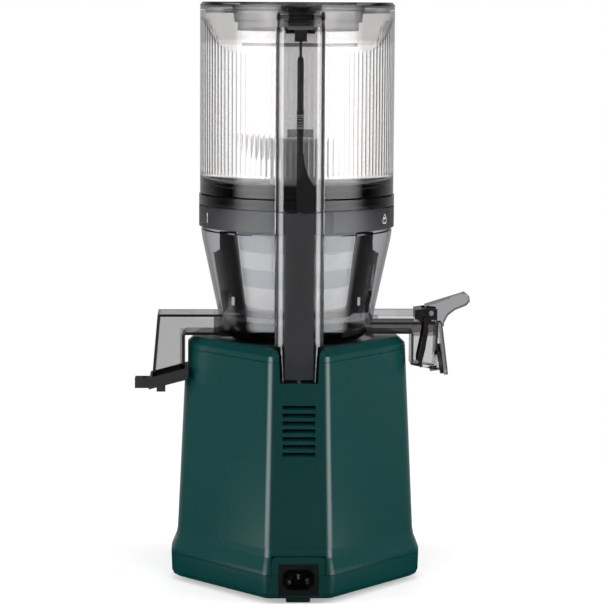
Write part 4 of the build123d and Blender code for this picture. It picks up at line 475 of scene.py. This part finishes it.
def plate(x, z, half_x, half_z):
    """A slim upright block about the point x, 0, z: its eight corners and six faces."""
    corners = np.array([(a, b, c) for a in (-1, 1) for b in (-1, 1) for c in (-1, 1)], float)
    faces = [[0, 1, 3, 2], [4, 6, 7, 5], [0, 4, 5, 1], [2, 3, 7, 6], [0, 2, 6, 4], [1, 5, 7, 3]]
    return corners * (half_x, SLIT_HALF_Y, half_z) + (x, 0.0, z), faces


# ---------------------------------------------------------------- motor base
class DressBase(bpy.types.Operator):
    """Finishes every solid of the motor base and what is inside it."""

    bl_idname = "juicer.dress_base"
    bl_label = "Motor base"

    def execute(self, context):
        shell = moulded(
            "Satin green shell", colours().shell, 0.27, grain=0.03, coarse=9.0, fine=700.0, coat=0.35
        )
        for node in ("base_housing", "top_cover", "bottom_cover"):
            dress(node, shell)
        black = moulded("Black moulding", (0.014, 0.014, 0.015), 0.42, grain=0.25)
        gloss = moulded("Black gloss moulding", (0.010, 0.010, 0.011), 0.2, grain=0.05)
        rubber = moulded("Black silicone", (0.012, 0.012, 0.013), 0.55, grain=0.2, specular=0.35)
        steel = metal("Ground steel", (0.56, 0.56, 0.57), 0.28)
        plated = metal("Plated pins", (0.72, 0.70, 0.66), 0.16, stretch=(200.0, 200.0, 200.0))
        zinc = metal("Die-cast zinc", (0.50, 0.51, 0.53), 0.5, stretch=(300.0, 300.0, 300.0), grain=0.3)
        sheet = metal(
            "Stacked sheet steel", (0.22, 0.22, 0.23), 0.45, stretch=(10.0, 10.0, 1800.0), grain=0.6
        )
        copper = metal("Enamelled copper", (0.62, 0.22, 0.08), 0.3, stretch=(60.0, 60.0, 1400.0), grain=0.6)
        nylon = moulded("Natural nylon", (0.62, 0.60, 0.54), 0.45, grain=0.15)
        board = moulded("Lacquered board", (0.010, 0.085, 0.030), 0.25, grain=0.1, coarse=120.0, shift=0.25)
        parts = moulded("Board parts", (0.03, 0.03, 0.033), 0.4, grain=0.2, coarse=150.0, shift=0.3)
        for node, material in (
            ("rubber_feet", rubber), ("shaft_seal", rubber), ("damper_grommets", rubber),
            ("power_inlet", gloss), ("drive_deck", gloss), ("knob_bezel", gloss), ("control_knob", gloss),
            ("cover_screws", steel), ("motor_can", steel), ("motor_bearings", steel), ("motor_shaft", steel),
            ("output_shaft", steel), ("output_bearings", steel), ("gear_case_screws", steel),
            ("inlet_pins", plated), ("motor_end_bell", zinc), ("gear_case", zinc), ("gear_cover", zinc),
            ("stator_core", sheet), ("rotor_core", sheet), ("stator_windings", copper),
            ("cooling_fan", black), ("rotary_switch", black), ("interlock_switch", black),
            ("switch_plunger", black), ("cluster_gear", nylon), ("output_gear", nylon),
            ("control_board", board), ("board_components", parts),
        ):
            dress(node, material)
        return {"FINISHED"}


# ---------------------------------------------------------------- drum and what it carries
def drum_smoke_and_painted_shade(tree, place):
    """The bowl and the pulp side are smoky, and the juice side's drop is nearly clear. Painted shade darkens
    the foot over the dark drive deck and the pulp chute's inner wall beside the base, and a painted dark
    reflection darkens the juice duct."""
    return region_tint(tree, place, tinted(tree, place, colours().smoke, 0.015, 14.0), (
        ((-0.0800, 0.0800), (0.2135, 0.3200), (0.93, 0.93, 0.935)),
        # painted shade: the drum's foot is darkened where it stands over the black drive deck
        ((-0.0655, 0.0655), (0.1900, 0.2135), (0.42, 0.42, 0.42)),
        # painted shadow: the pulp chute's inner wall beside the base is darkened
        ((0.0840, 0.0925), (0.1500, 0.2005), (0.58, 0.58, 0.58)),
        ((-0.1150, -0.0655), (0.1500, 0.1990), (0.97, 0.965, 0.96)),
        # painted dark reflection: the juice duct is darkened for the dark parts mirrored inside it
        ((-0.1125, -0.0655), (0.1995, 0.2110), (0.43, 0.42, 0.415)),
    ))


def column_smoke_and_painted_shade(tree, place):
    """The column's back is lightly smoky, and painted shade darkens its two sides, which face away at a
    slant.
    """
    return region_tint(tree, place, tinted(tree, place, (0.79, 0.785, 0.79), 0.015, 14.0), (
        # painted shade: the column's two sides are darkened for the darker light they show at a slant
        ((-0.0250, -0.0150), (0.2500, 0.4700), (0.47, 0.47, 0.47)),
        ((0.0150, 0.0250), (0.2500, 0.4700), (0.47, 0.47, 0.47)),
    ))


def lid_tint(tree, place):
    """The lid's plate is dark on top and lighter under it, and its hinge ears are dark."""
    return region_tint(tree, place, tinted(tree, place, (0.86, 0.855, 0.85), 0.015, 14.0), (
        ((-0.0900, 0.0900), (0.4615, 0.4700), (0.42, 0.42, 0.42)),
        ((-0.0585, 0.0585), (0.4400, 0.4590), (0.50, 0.495, 0.49)),
        ((-0.0165, 0.0165), (0.4400, 0.4660), (0.42, 0.42, 0.42)),
    ))


class DressDrum(bpy.types.Operator):
    """Finishes the drum, its outlets, the juice cap, the wiper, the auger and the lower column."""

    bl_idname = "juicer.dress_drum"
    bl_label = "Drum"

    def execute(self, context):
        # the drum's material carries its smoke and the painted shade of its foot, juice duct and pulp chute
        # wall
        smoke = clear_plastic("Smoky drum wall with painted shade", drum_smoke_and_painted_shade, 100.0)
        dark = clear_plastic("Dark smoky ring", (0.95, 0.95, 0.95), 185.0, roughness=0.42)
        rubber = moulded("Drum silicone", (0.012, 0.012, 0.013), 0.5, grain=0.2, specular=0.4)
        black = moulded("Wiper moulding", (0.014, 0.014, 0.015), 0.4, grain=0.2)
        rod = moulded("Rod guide moulding", (0.27, 0.27, 0.275), 0.5, grain=0.2)
        gloss = moulded("Cap hinge moulding", (0.012, 0.012, 0.013), 0.24, grain=0.05)
        lever = clear_plastic("Smoky juice lever", (0.97, 0.97, 0.97), 60.0)
        steel = metal("Hinge steel", (0.6, 0.6, 0.6), 0.2)
        frame_mat = moulded("Strainer moulding", colours().screen, 0.3, grain=0.08)
        mesh = moulded("Moulded screen", (0.78, 0.80, 0.82), 0.35, grain=0.1)
        pale_head = (((-0.0600, 0.0600), (0.2960, 0.3600), (0.36, 0.36, 0.36)),)
        auger = moulded("Auger moulding", (0.011, 0.011, 0.012), 0.3, grain=0.15, regions=pale_head)
        wing = moulded("Cutting wing", (0.80, 0.80, 0.79), 0.35, grain=0.1)
        column = clear_plastic("Smoky column wall", (0.74, 0.74, 0.745), 110.0, roughness=0.10, coat=1.0)
        for node, material in (
            ("drum", smoke), ("locking_ring", dark), ("drum_seal", rubber), ("pulp_packing", rubber),
            ("spout_seal", rubber), ("cap_leaf", gloss), ("cap_hinge_block", gloss), ("cap_hinge_pin", steel),
            ("juice_cap", lever), ("wiper_frame", black), ("wiper_blades", rubber),
            ("strainer_frame", frame_mat), ("strainer_mesh", mesh), ("auger", auger), ("auger_wing", wing),
            ("lower_column", column), ("rod_guide", rod), ("lower_rod", rod),
        ):
            dress(node, material)
        slats = [plate(side * x, *rest) for side in (1, -1) for x, *rest in SLIT_PLATES]
        add_piece("wiper_slats", *join(slats), black, "wiper", "black_plastic", False)
        return {"FINISHED"}


def strainer_radius(z):
    """The strainer's outside radius at a height."""
    return STRAINER_FOOT_R + STRAINER_SPREAD * (z - STRAINER_FOOT_Z)


def screen_sheet(low, high, columns):
    """A conical sheet between two heights, pierced by diamond holes.

    A point stands at the strainer's radius at its height plus or minus half the sheet's thickness.
    The sheet is a grid of cells, and a cell's hole is a diamond about its middle. Eight triangles fill
    each cell round its hole on both faces, four quads line the hole, and quads close both ends.
    """
    rows = max(2, round((high - low) / (2 * math.pi * strainer_radius(low) / columns)))
    turn = 2 * math.pi / columns
    rise = (high - low) / rows
    row, column = np.meshgrid(np.arange(rows + 1), np.arange(columns), indexing="ij")
    cells = row[:rows], column[:rows]
    spots = [(row, column)]
    for across, up in ((0, -SCREEN_HOLE), (SCREEN_HOLE, 0), (0, SCREEN_HOLE), (-SCREEN_HOLE, 0)):
        spots.append((cells[0] + 0.5 + up, cells[1] + 0.5 + across))
    height = low + rise * np.concatenate([r.ravel() for r, _ in spots])
    angle = turn * np.concatenate([c.ravel() for _, c in spots])
    points = []
    for offset in (SCREEN_OUT, SCREEN_OUT - SCREEN_T):
        radius = strainer_radius(height) + offset
        points.append(np.stack([radius * np.cos(angle), radius * np.sin(angle), height], axis=-1))
    inner = len(height)
    corner = row[:rows] * columns + column[:rows]
    beside = row[:rows] * columns + (column[:rows] + 1) % columns
    a, b, c, d = (k.ravel() for k in (corner, beside, beside + columns, corner + columns))
    base = (rows + 1) * columns
    low_d, right_d, high_d, left_d = (base + k * rows * columns + np.arange(rows * columns) for k in range(4))
    outer = [(a, b, low_d), (b, c, right_d), (c, d, high_d), (d, a, left_d),
             (a, low_d, left_d), (b, right_d, low_d), (c, high_d, right_d), (d, left_d, high_d)]
    outside = np.concatenate([np.stack(face, axis=-1) for face in outer])
    inside = outside[:, ::-1] + inner
    ring = np.arange(columns)
    beyond = (ring + 1) % columns
    top = rows * columns
    walls = [(low_d, right_d), (right_d, high_d), (high_d, left_d), (left_d, low_d)]
    walls = [np.stack([f, s, s + inner, f + inner], axis=-1) for f, s in walls]
    walls.append(np.stack([beyond, ring, ring + inner, beyond + inner], axis=-1))
    walls.append(np.stack([ring + top, beyond + top, beyond + top + inner, ring + top + inner], axis=-1))
    return np.concatenate(points), outside.tolist() + inside.tolist() + np.concatenate(walls).tolist()


class BuildScreen(bpy.types.Operator):
    """Builds the two pierced bands of the juice screen."""

    bl_idname = "juicer.build_screen"
    bl_label = "Juice screen"

    def execute(self, context):
        pale = moulded("Pierced screen", (0.90, 0.91, 0.92), 0.35, grain=0.1)
        for index, (low, high) in enumerate(SCREEN_BANDS):
            name = f"screen_band_{index + 1}"
            shape = screen_sheet(low, high, sizes().screen_columns)
            add_piece(name, *shape, pale, "drum_group", "mesh_steel", False)
        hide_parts("strainer_mesh")
        return {"FINISHED"}


# ---------------------------------------------------------------- marks
def patch(outline, depth):
    """A flat plate of a given outline in the plane of u and v: its front, its back and its sides. A
    point is (u, v, w), with w nought at the back and the depth at the front."""
    outline = np.asarray(outline, float)
    count = len(outline)
    flat = np.concatenate([np.c_[outline, np.full(count, depth)], np.c_[outline, np.zeros(count)]])
    ring = np.arange(count)
    after = (ring + 1) % count
    faces = [ring.tolist(), (ring[::-1] + count).tolist()]
    return flat, faces + np.stack([after, ring, ring + count, after + count], axis=-1).tolist()


def hollow(outer, inner, depth):
    """A flat plate between two outlines with as many points each."""
    outer, inner = np.asarray(outer, float), np.asarray(inner, float)
    count = len(outer)
    lines = ((outer, depth), (inner, depth), (inner, 0.0), (outer, 0.0))
    rings = [np.c_[line, np.full(count, w)] for line, w in lines]
    return np.concatenate(rings), grid_faces(4, count, wrap_columns=True, wrap_rows=True)[:, ::-1].tolist()


def circle(radius, count=24, middle=(0.0, 0.0)):
    """Points round a circle."""
    turn = np.arange(count) * 2 * math.pi / count
    return np.c_[middle[0] + radius * np.cos(turn), middle[1] + radius * np.sin(turn)]


def bar(width, height, middle=(0.0, 0.0)):
    """The four corners of an upright bar."""
    u, v = middle
    return [(u - width / 2, v - height / 2), (u + width / 2, v - height / 2),
            (u + width / 2, v + height / 2), (u - width / 2, v + height / 2)]


def on_cylinder(flat, radius, bearing, height):
    """Wraps a plate on the outside of an upright cylinder: u runs round it, v up and w out. Bearing is
    the angle from the back, +Y, towards -X, which is to the right when seen from behind."""
    angle = math.pi / 2 + bearing + flat[:, 0] / radius
    reach = radius + flat[:, 2]
    return np.stack([reach * np.cos(angle), reach * np.sin(angle), height + flat[:, 1]], axis=-1)


def on_front(flat, y, middle_z, turn, reach):
    """Lays a plate on a plane that faces the front, turned about the knob's axis and moved out from
    it: u runs to the right as seen from the front, v away from the axis and w towards the front."""
    u, v = flat[:, 0], flat[:, 1] + reach
    x = u * math.cos(turn) + v * math.sin(turn)
    z = v * math.cos(turn) - u * math.sin(turn)
    return np.stack([x, y - flat[:, 2], middle_z + z], axis=-1)


class BuildMarks(bpy.types.Operator):
    """Prints the plain marks: the ring's index line and lock sign, and the knob's pointer and dial."""

    bl_idname = "juicer.build_marks"
    bl_label = "Marks"

    def execute(self, context):
        ink = moulded("Pale ink", (0.80, 0.80, 0.79), 0.5, grain=0.05)
        film = MARK_DEPTH
        lock_loop = hollow(circle(0.0019, 20, (0, 0.0017)), circle(0.0014, 20, (0, 0.0017)), film)
        lock_body = hollow(bar(0.0060, 0.0044, (0, -0.0014)), bar(0.0050, 0.0034, (0, -0.0014)), film)
        joined = []
        for (flat, faces), bearing in (
            (patch(bar(0.0008, 0.0078), film), -RING_LINE_BEARING),
            (lock_loop, RING_LOCK_BEARING),
            (lock_body, RING_LOCK_BEARING),
        ):
            joined.append((on_cylinder(flat, RING_R, bearing, RING_MID_Z), faces))
        add_piece("ring_marks", *join(joined), ink, "drum_group", "pale_plastic", False)
        dial = []
        for (flat, faces), turn in (
            (hollow(circle(0.0011), circle(0.0007), film), 0.0),
            (patch(bar(0.0006, 0.0022), film), DIAL_TURN),
            (patch(bar(0.0006, 0.0022, (-0.0006, 0)), film), -DIAL_TURN),
            (patch(bar(0.0006, 0.0022, (0.0006, 0)), film), -DIAL_TURN),
        ):
            dial.append((on_front(flat, BEZEL_Y, KNOB_Z, turn, DIAL_REACH), faces))
        add_piece("dial_marks", *join(dial), ink, "base", "pale_plastic", False)
        flat, faces = patch(bar(0.0012, 0.0085), film)
        points = on_front(flat, GRIP_Y, KNOB_Z, 0.0, POINTER_REACH)
        add_piece("knob_pointer", points, faces, ink, "knob", "pale_plastic", False)
        return {"FINISHED"}


# ---------------------------------------------------------------- hopper, its column and the lid
def bowl_tint(tree, place):
    """The hopper's surface tint by height: dark at its foot, clear from the floor's round up, and a
    little darker in its top band."""
    clear = tinted(tree, place, colours().clear, 0.005, 14.0)
    wall = blend_colours(tree, ease(tree, split(tree, place)["Z"], 0.3165, 0.3275), (0.12, 0.12, 0.12), clear)
    return region_tint(tree, place, wall, (((-0.0900, 0.0900), (0.4330, 0.4700), (0.82, 0.815, 0.81)),))


def bowl_profile(flutes, depth, count):
    """Points of the hopper's closed wall on a grid, one row of the profile after another.

    A point is (r cos a, r sin a, z). The wall's profile runs up the outside, over the rim, down the
    inside, round the rounded floor and down the throat. On the inside, between the fluted band's
    ends, the radius falls by depth times the root of the sine of half the flute count times the angle,
    which gives full ribs with narrow grooves, eased to nothing at both ends by a smooth step in z.
    The band's upper end is low at the back and the front, and rises to the sides with the cube of how
    far |cos a| is past a limit. At the back the rim drops to the notch's height where |x| is under the
    notch's half width.
    """
    outer, inner, throat, throat_wall = 0.0775, 0.0749, 0.0455, 0.0481
    throat_z, foot_z, top_z = 0.3048, 0.3126, 0.4584
    notch_half, notch_z, edge_row = 0.0114, 0.4430, 0.0004
    edge = math.acos(notch_half / inner)
    angles = np.arange(count) * 2 * math.pi / count
    split = np.array([edge - 1e-5, edge + 1e-5, math.pi - edge - 1e-5, math.pi - edge + 1e-5])
    angles = np.sort(np.concatenate([angles, split]))
    in_notch = (np.abs(np.cos(angles)) * inner < notch_half) & (np.sin(angles) > 0)
    rim = np.where(in_notch, notch_z, top_z)
    low, high_back, high_rise, ease_z = 0.3290, 0.4285, 0.0235, 0.0035
    rise_from, rise_over = 0.6, 0.37
    high = high_back + high_rise * np.clip((np.abs(np.cos(angles)) - rise_from) / rise_over, 0, 1) ** 3
    fade = np.linspace(0, ease_z, 5)[:, None]
    middle = np.linspace(0, 1, 8)[1:-1, None]
    band = np.concatenate([
        high - fade,
        (high - ease_z) * (1 - middle) + (low + ease_z) * middle,
        low + fade[::-1] + 0 * high,
    ])
    outside = [(throat_wall, throat_z), (throat_wall, foot_z - 0.0006), (throat_wall, foot_z)]
    outside += [(throat_wall + 0.0006, foot_z), (outer - 0.0018, foot_z), (outer - 0.0012, foot_z)]
    plain_rows = (0.33, 0.37, 0.41, 0.4425)
    outside += [(outer, z) for z in (foot_z + 0.0012, foot_z + 0.0018, *plain_rows)]
    floor_r, floor_z, floor_drop = 0.058, 0.3262, 0.0088
    arc = np.linspace(0, math.pi / 2, 8)
    floor = [(floor_r + (inner - floor_r) * math.cos(t), floor_z - floor_drop * math.sin(t)) for t in arc]
    lip_r, lip_z, lip_round_z, lip_low_z = 0.0500, 0.31625, 0.3156, 0.3148
    floor += [(lip_r, lip_z), (throat + 0.0008, lip_round_z), (throat, lip_low_z), (throat, throat_z)]
    inner_row_z = 0.4535
    level = np.ones(len(angles))
    share = np.clip(np.minimum(high - band, band - low) / ease_z, 0, 1)
    share = share * share * (3 - 2 * share)
    ribs = inner - depth * share * np.sqrt(np.abs(np.sin(flutes / 2 * angles)))
    radius = np.concatenate([
        [r * level for r, _ in outside],
        [outer * level, outer * level, (outer - edge_row) * level],
        [(inner + edge_row) * level, inner * level, inner * level, inner * level],
        ribs,
        [r * level for r, _ in floor],
    ])
    height = np.concatenate([
        [z * level for _, z in outside],
        [rim - edge_row, rim, rim, rim, rim, rim - edge_row, np.minimum(rim - edge_row, inner_row_z)],
        band,
        [z * level for _, z in floor],
    ])
    return np.stack([radius * np.cos(angles), radius * np.sin(angles), height], axis=-1)


class BuildHopper(bpy.types.Operator):
    """Builds the fluted hopper bowl and finishes the hopper's column, collar and lid."""

    bl_idname = "juicer.build_hopper"
    bl_label = "Hopper and lid"

    def execute(self, context):
        clear = clear_plastic("Clear hopper wall", bowl_tint, 14.0, roughness=0.0, ripple=0.01)
        lid_clear = clear_plastic("Smoky lid wall", lid_tint, 40.0)
        column = clear_plastic("Smoky hopper column with painted shade", column_smoke_and_painted_shade, 110.0, roughness=0.05, coat=1.0)
        dark = clear_plastic("Dark smoky collar", (0.60, 0.60, 0.60), 200.0, roughness=0.22)
        hoop = clear_plastic("Smoky hoop", (0.40, 0.40, 0.40), 300.0, roughness=0.08)
        rubber = moulded("Hopper silicone", (0.012, 0.012, 0.013), 0.5, grain=0.2, specular=0.4)
        black = moulded("Rod moulding", (0.045, 0.045, 0.047), 0.36, grain=0.15)
        steel = metal("Pin and spring steel", (0.6, 0.6, 0.6), 0.2)
        for node, material in (
            ("hopper_seal", rubber), ("hopper_collar", dark), ("upper_column", column),
            ("lid_hinge_pin", steel), ("hoop_band", hoop), ("rod_bushing", column),
            ("interlock_rod", black), ("lid", lid_clear),
        ):
            dress(node, material)
        count = sizes().flute_count * FLUTE_SAMPLES
        points = bowl_profile(sizes().flute_count, sizes().flute_depth, count)
        rows, columns = points.shape[:2]
        faces = grid_faces(rows, columns, wrap_columns=True, wrap_rows=True).tolist()
        bowl = add_piece("hopper_bowl_fluted", points, faces, clear, "hopper", "clear")
        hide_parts("hopper_bowl")
        return {"FINISHED"}


def coil(turns, wire_d, radius, low, high, y):
    """A closed tube along a helix with flat ends.

    Where the helix has turned by the share s of its whole turn, its height has risen by the share
    s - k sin(2 pi s) of its whole rise. So its first and last turns climb less than the others, as at
    ground ends. A tube point is the helix's point, plus the wire's radius times the cosine of its own
    angle along the outward direction and the sine along the upward one.
    """
    around, sides = turns * COIL_STEPS + 1, COIL_SIDES
    share = np.linspace(0, 1, around)[:, None]
    lift = share - COIL_FLAT * np.sin(2 * math.pi * share)
    turn = 2 * math.pi * turns * share
    own = (np.arange(sides) * 2 * math.pi / sides)[None, :]
    reach = radius + wire_d / 2 * np.cos(own)
    height = low + wire_d / 2 + (high - low - wire_d) * lift + wire_d / 2 * np.sin(own)
    axes = np.broadcast_arrays(reach * np.cos(turn), y + reach * np.sin(turn), height)
    points = np.stack(axes, axis=-1)
    faces = grid_faces(around, sides, wrap_columns=True)[:, ::-1].tolist()
    last = (around - 1) * sides
    return points, faces + [list(range(sides)), [last + k for k in range(sides)][::-1]]


class BuildSpring(bpy.types.Operator):
    """Builds the coil spring round the interlock rod."""

    bl_idname = "juicer.build_spring"
    bl_label = "Rod spring"

    def execute(self, context):
        steel = metal("Spring wire", (0.6, 0.6, 0.61), 0.22)
        dress("rod_spring", steel)
        turns, wire_d = sizes().spring_turns, sizes().spring_wire
        shape = coil(turns, wire_d, SPRING_R, SPRING_LOW_Z, SPRING_HIGH_Z, ROD_Y)
        spring = add_piece("spring_coil", *shape, steel, None, "steel")
        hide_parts("rod_spring")
        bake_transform(spring)
        return {"FINISHED"}


# ---------------------------------------------------------------- stage
class SetStage(bpy.types.Operator):
    """Sets the pale floor, the soft light and the camera."""

    bl_idname = "juicer.set_stage"
    bl_label = "Stage"

    def execute(self, context):
        scene = context.scene
        scene.view_settings.view_transform = "Standard"
        set_world(scene)
        add_floor()
        add_lamps()
        add_camera(scene)
        return {"FINISHED"}


def studio_glow(tree, place):
    """What gloss sees of the studio by its bearing alone: the white wall at the far side, which fades
    to the dark room on the near side, and a tall soft box in each of the near corners. A box's glow is
    a smooth step of the cosine of the angle from its middle."""
    level = arith(tree, "MULTIPLY", place, (1, 1, 0), kind="ShaderNodeVectorMath")
    axes = split(tree, arith(tree, "NORMALIZE", level, kind="ShaderNodeVectorMath"))
    wall = ease(tree, axes["Y"], *WALL_FADE, WALL_GLOW, ROOM_GLOW)
    bearing = math.radians(BOX_BEARING)
    aside = arith(tree, "MULTIPLY", arith(tree, "ABSOLUTE", axes["X"]), math.sin(bearing))
    facing = arith(tree, "MULTIPLY_ADD", axes["Y"], math.cos(bearing), aside)
    boxes = ease(tree, facing, math.cos(math.radians(BOX_REACH)), 1.0, 0.0, BOX_GLOW)
    return arith(tree, "ADD", wall, boxes)


def set_world(scene):
    """What is seen straight, directly or through clear plastic, is plain white. Gloss sees the studio,
    which fades overhead, and the soft fill is even."""
    world = bpy.data.worlds.new("Studio")
    scene.world = world
    world.use_nodes = True
    world.cycles.sampling_method = "NONE"
    tree = world.node_tree
    tree.nodes.clear()
    output = tree.nodes.new("ShaderNodeOutputWorld")
    place = tree.nodes.new("ShaderNodeTexCoord")
    direction = place.outputs["Generated"]
    overhead = ease(tree, split(tree, direction)["Z"], *OVERHEAD_FADE, 1.0, OVERHEAD_GLOW)
    fill, gloss, plain = (tree.nodes.new("ShaderNodeBackground") for _ in range(3))
    for background, strength in ((fill, FILL_GLOW), (gloss, 1.0), (plain, 1.0)):
        background.inputs["Color"].default_value = (1, 1, 1, 1)
        background.inputs["Strength"].default_value = strength
    studio = arith(tree, "MULTIPLY", studio_glow(tree, direction), overhead)
    wire(tree, studio, gloss.inputs["Strength"])
    straight, mirrored = ways_of_sight(tree)
    bounced = blend_shaders(tree, mirrored, fill.outputs[0], gloss.outputs[0])
    wire(tree, blend_shaders(tree, straight, bounced, plain.outputs[0]), output.inputs["Surface"])


def add_floor():
    """A pale matt floor. Near the juicer it keeps the soft shadow, and further out it fades to the
    plain white of the wall where it is seen straight. Gloss sees it with the studio's glow, which
    fades in with the distance from the juicer."""
    material, tree, shader, output, place = new_material("Pale floor")
    wire(tree, tinted(tree, place, (0.82, 0.82, 0.82), 0.01, 0.8), shader.inputs["Base Color"])
    shader.inputs["Roughness"].default_value = 0.9
    shader.inputs["Specular IOR Level"].default_value = 0.1
    lift, plain = (tree.nodes.new("ShaderNodeEmission") for _ in range(2))
    for light, strength in ((lift, FLOOR_LIFT), (plain, 1.0)):
        light.inputs["Color"].default_value = (1, 1, 1, 1)
        light.inputs["Strength"].default_value = strength
    near = tree.nodes.new("ShaderNodeAddShader")
    wire(tree, shader.outputs[0], near.inputs[0])
    wire(tree, lift.outputs[0], near.inputs[1])
    away = arith(tree, "LENGTH", place, kind="ShaderNodeVectorMath", result="Value")
    shown = blend_shaders(tree, ease(tree, away, *FLOOR_FADE), near.outputs[0], plain.outputs[0])
    mirror = tree.nodes.new("ShaderNodeEmission")
    mirror.inputs["Color"].default_value = (1, 1, 1, 1)
    shade = ease(tree, away, *FLOOR_MIRROR_FADE)
    wire(tree, arith(tree, "MULTIPLY", studio_glow(tree, place), shade), mirror.inputs["Strength"])
    straight, mirrored = ways_of_sight(tree)
    bounced = blend_shaders(tree, mirrored, shader.outputs[0], mirror.outputs[0])
    wire(tree, blend_shaders(tree, straight, bounced, shown), output.inputs["Surface"])
    corners = [(FLOOR_HALF * x, FLOOR_HALF * y, 0) for x, y in ((-1, -1), (1, -1), (1, 1), (-1, 1))]
    mesh = bpy.data.meshes.new("floor")
    mesh.from_pydata(corners, [], [(0, 1, 2, 3)])
    mesh.materials.append(material)
    floor = bpy.data.objects.new("floor", mesh)
    bpy.context.scene.collection.objects.link(floor)


def add_lamp(name, bearing, distance, height, width, tall, watts):
    """A soft rectangular lamp that faces the juicer's middle. Its bearing is the angle from the back,
    +Y, towards +X. Lamps are hidden from the camera, from gloss and behind clear plastic."""
    data = bpy.data.lights.new(name, "AREA")
    data.shape = "RECTANGLE"
    data.size = width
    data.size_y = tall
    data.energy = watts
    lamp = bpy.data.objects.new(name, data)
    turn = math.radians(bearing)
    lamp.location = (distance * math.sin(turn), distance * math.cos(turn), height)
    lamp.rotation_mode = "QUATERNION"
    lamp.rotation_quaternion = (Vector((0.0, 0.0, LAMP_AIM_Z)) - lamp.location).to_track_quat("-Z", "Y")
    lamp.visible_camera = False
    lamp.visible_transmission = False
    lamp.visible_glossy = False
    bpy.context.scene.collection.objects.link(lamp)


def add_lamps():
    """Soft lamps at both sides, broad ones overhead and at the front."""
    add_lamp("lamp_left", 76, 1.70, 0.60, 0.50, 1.7, 30.0)
    add_lamp("lamp_right", -78, 1.70, 0.60, 0.50, 1.7, 32.0)
    add_lamp("lamp_top", 0, 0.50, 1.90, 1.2, 0.9, 12.0)
    add_lamp("lamp_front", 180, 1.80, 0.90, 1.6, 1.2, 10.0)


def add_camera(scene):
    """A long lens two metres behind the juicer, looking slightly down on it."""
    azimuth, elevation = math.radians(CAMERA_AZIMUTH), math.radians(CAMERA_ELEVATION)
    back = Vector((
        math.sin(azimuth) * math.cos(elevation), -math.cos(azimuth) * math.cos(elevation), math.sin(elevation)
    ))
    data = bpy.data.cameras.new("camera")
    data.sensor_width = 36.0
    data.lens = CAMERA_LENS
    data.clip_start = 0.05
    data.clip_end = 60.0
    camera = bpy.data.objects.new("camera", data)
    camera.location = CAMERA_PLACE
    camera.rotation_mode = "QUATERNION"
    roll = Quaternion((0, 0, 1), math.radians(CAMERA_ROLL))
    camera.rotation_quaternion = (-back).to_track_quat("-Z", "Y") @ roll
    scene.collection.objects.link(camera)
    scene.camera = camera


# ---------------------------------------------------------------- panel and start
class JuicerPanel(bpy.types.Panel):
    """Lists the juicer's settings and steps."""

    bl_idname = "VIEW3D_PT_juicer"
    bl_label = "Juicer"
    bl_space_type = "VIEW_3D"
    bl_region_type = "UI"
    bl_category = "Juicer"

    def draw(self, context):
        layout = self.layout
        for group in (context.scene.juicer_sizes, context.scene.juicer_colours):
            box = layout.box()
            for name in group.__annotations__:
                box.prop(group, name)
        for step in STEPS:
            layout.operator(step.bl_idname)


STEPS = (DressBase, DressDrum, BuildScreen, BuildHopper, BuildSpring, BuildMarks, SetStage)
CLASSES = (JuicerSizes, JuicerColours, *STEPS, JuicerPanel)


def register():
    """Adds the classes and the scene's settings."""
    for kind in CLASSES:
        bpy.utils.register_class(kind)
    bpy.types.Scene.juicer_sizes = PointerProperty(type=JuicerSizes)
    bpy.types.Scene.juicer_colours = PointerProperty(type=JuicerColours)


def unregister():
    """Removes what register added."""
    del bpy.types.Scene.juicer_colours
    del bpy.types.Scene.juicer_sizes
    for kind in reversed(CLASSES):
        bpy.utils.unregister_class(kind)


def run_step(step):
    """Calls one operator through bpy.ops and stops if it didn't finish."""
    area, name = step.bl_idname.split(".")
    done = getattr(getattr(bpy.ops, area), name)()
    if done != {"FINISHED"}:
        raise RuntimeError(f"{step.bl_label} didn't finish")


def main():
    """Builds everything in order."""
    register()
    for step in STEPS:
        run_step(step)


if __name__ == "__main__":
    main()
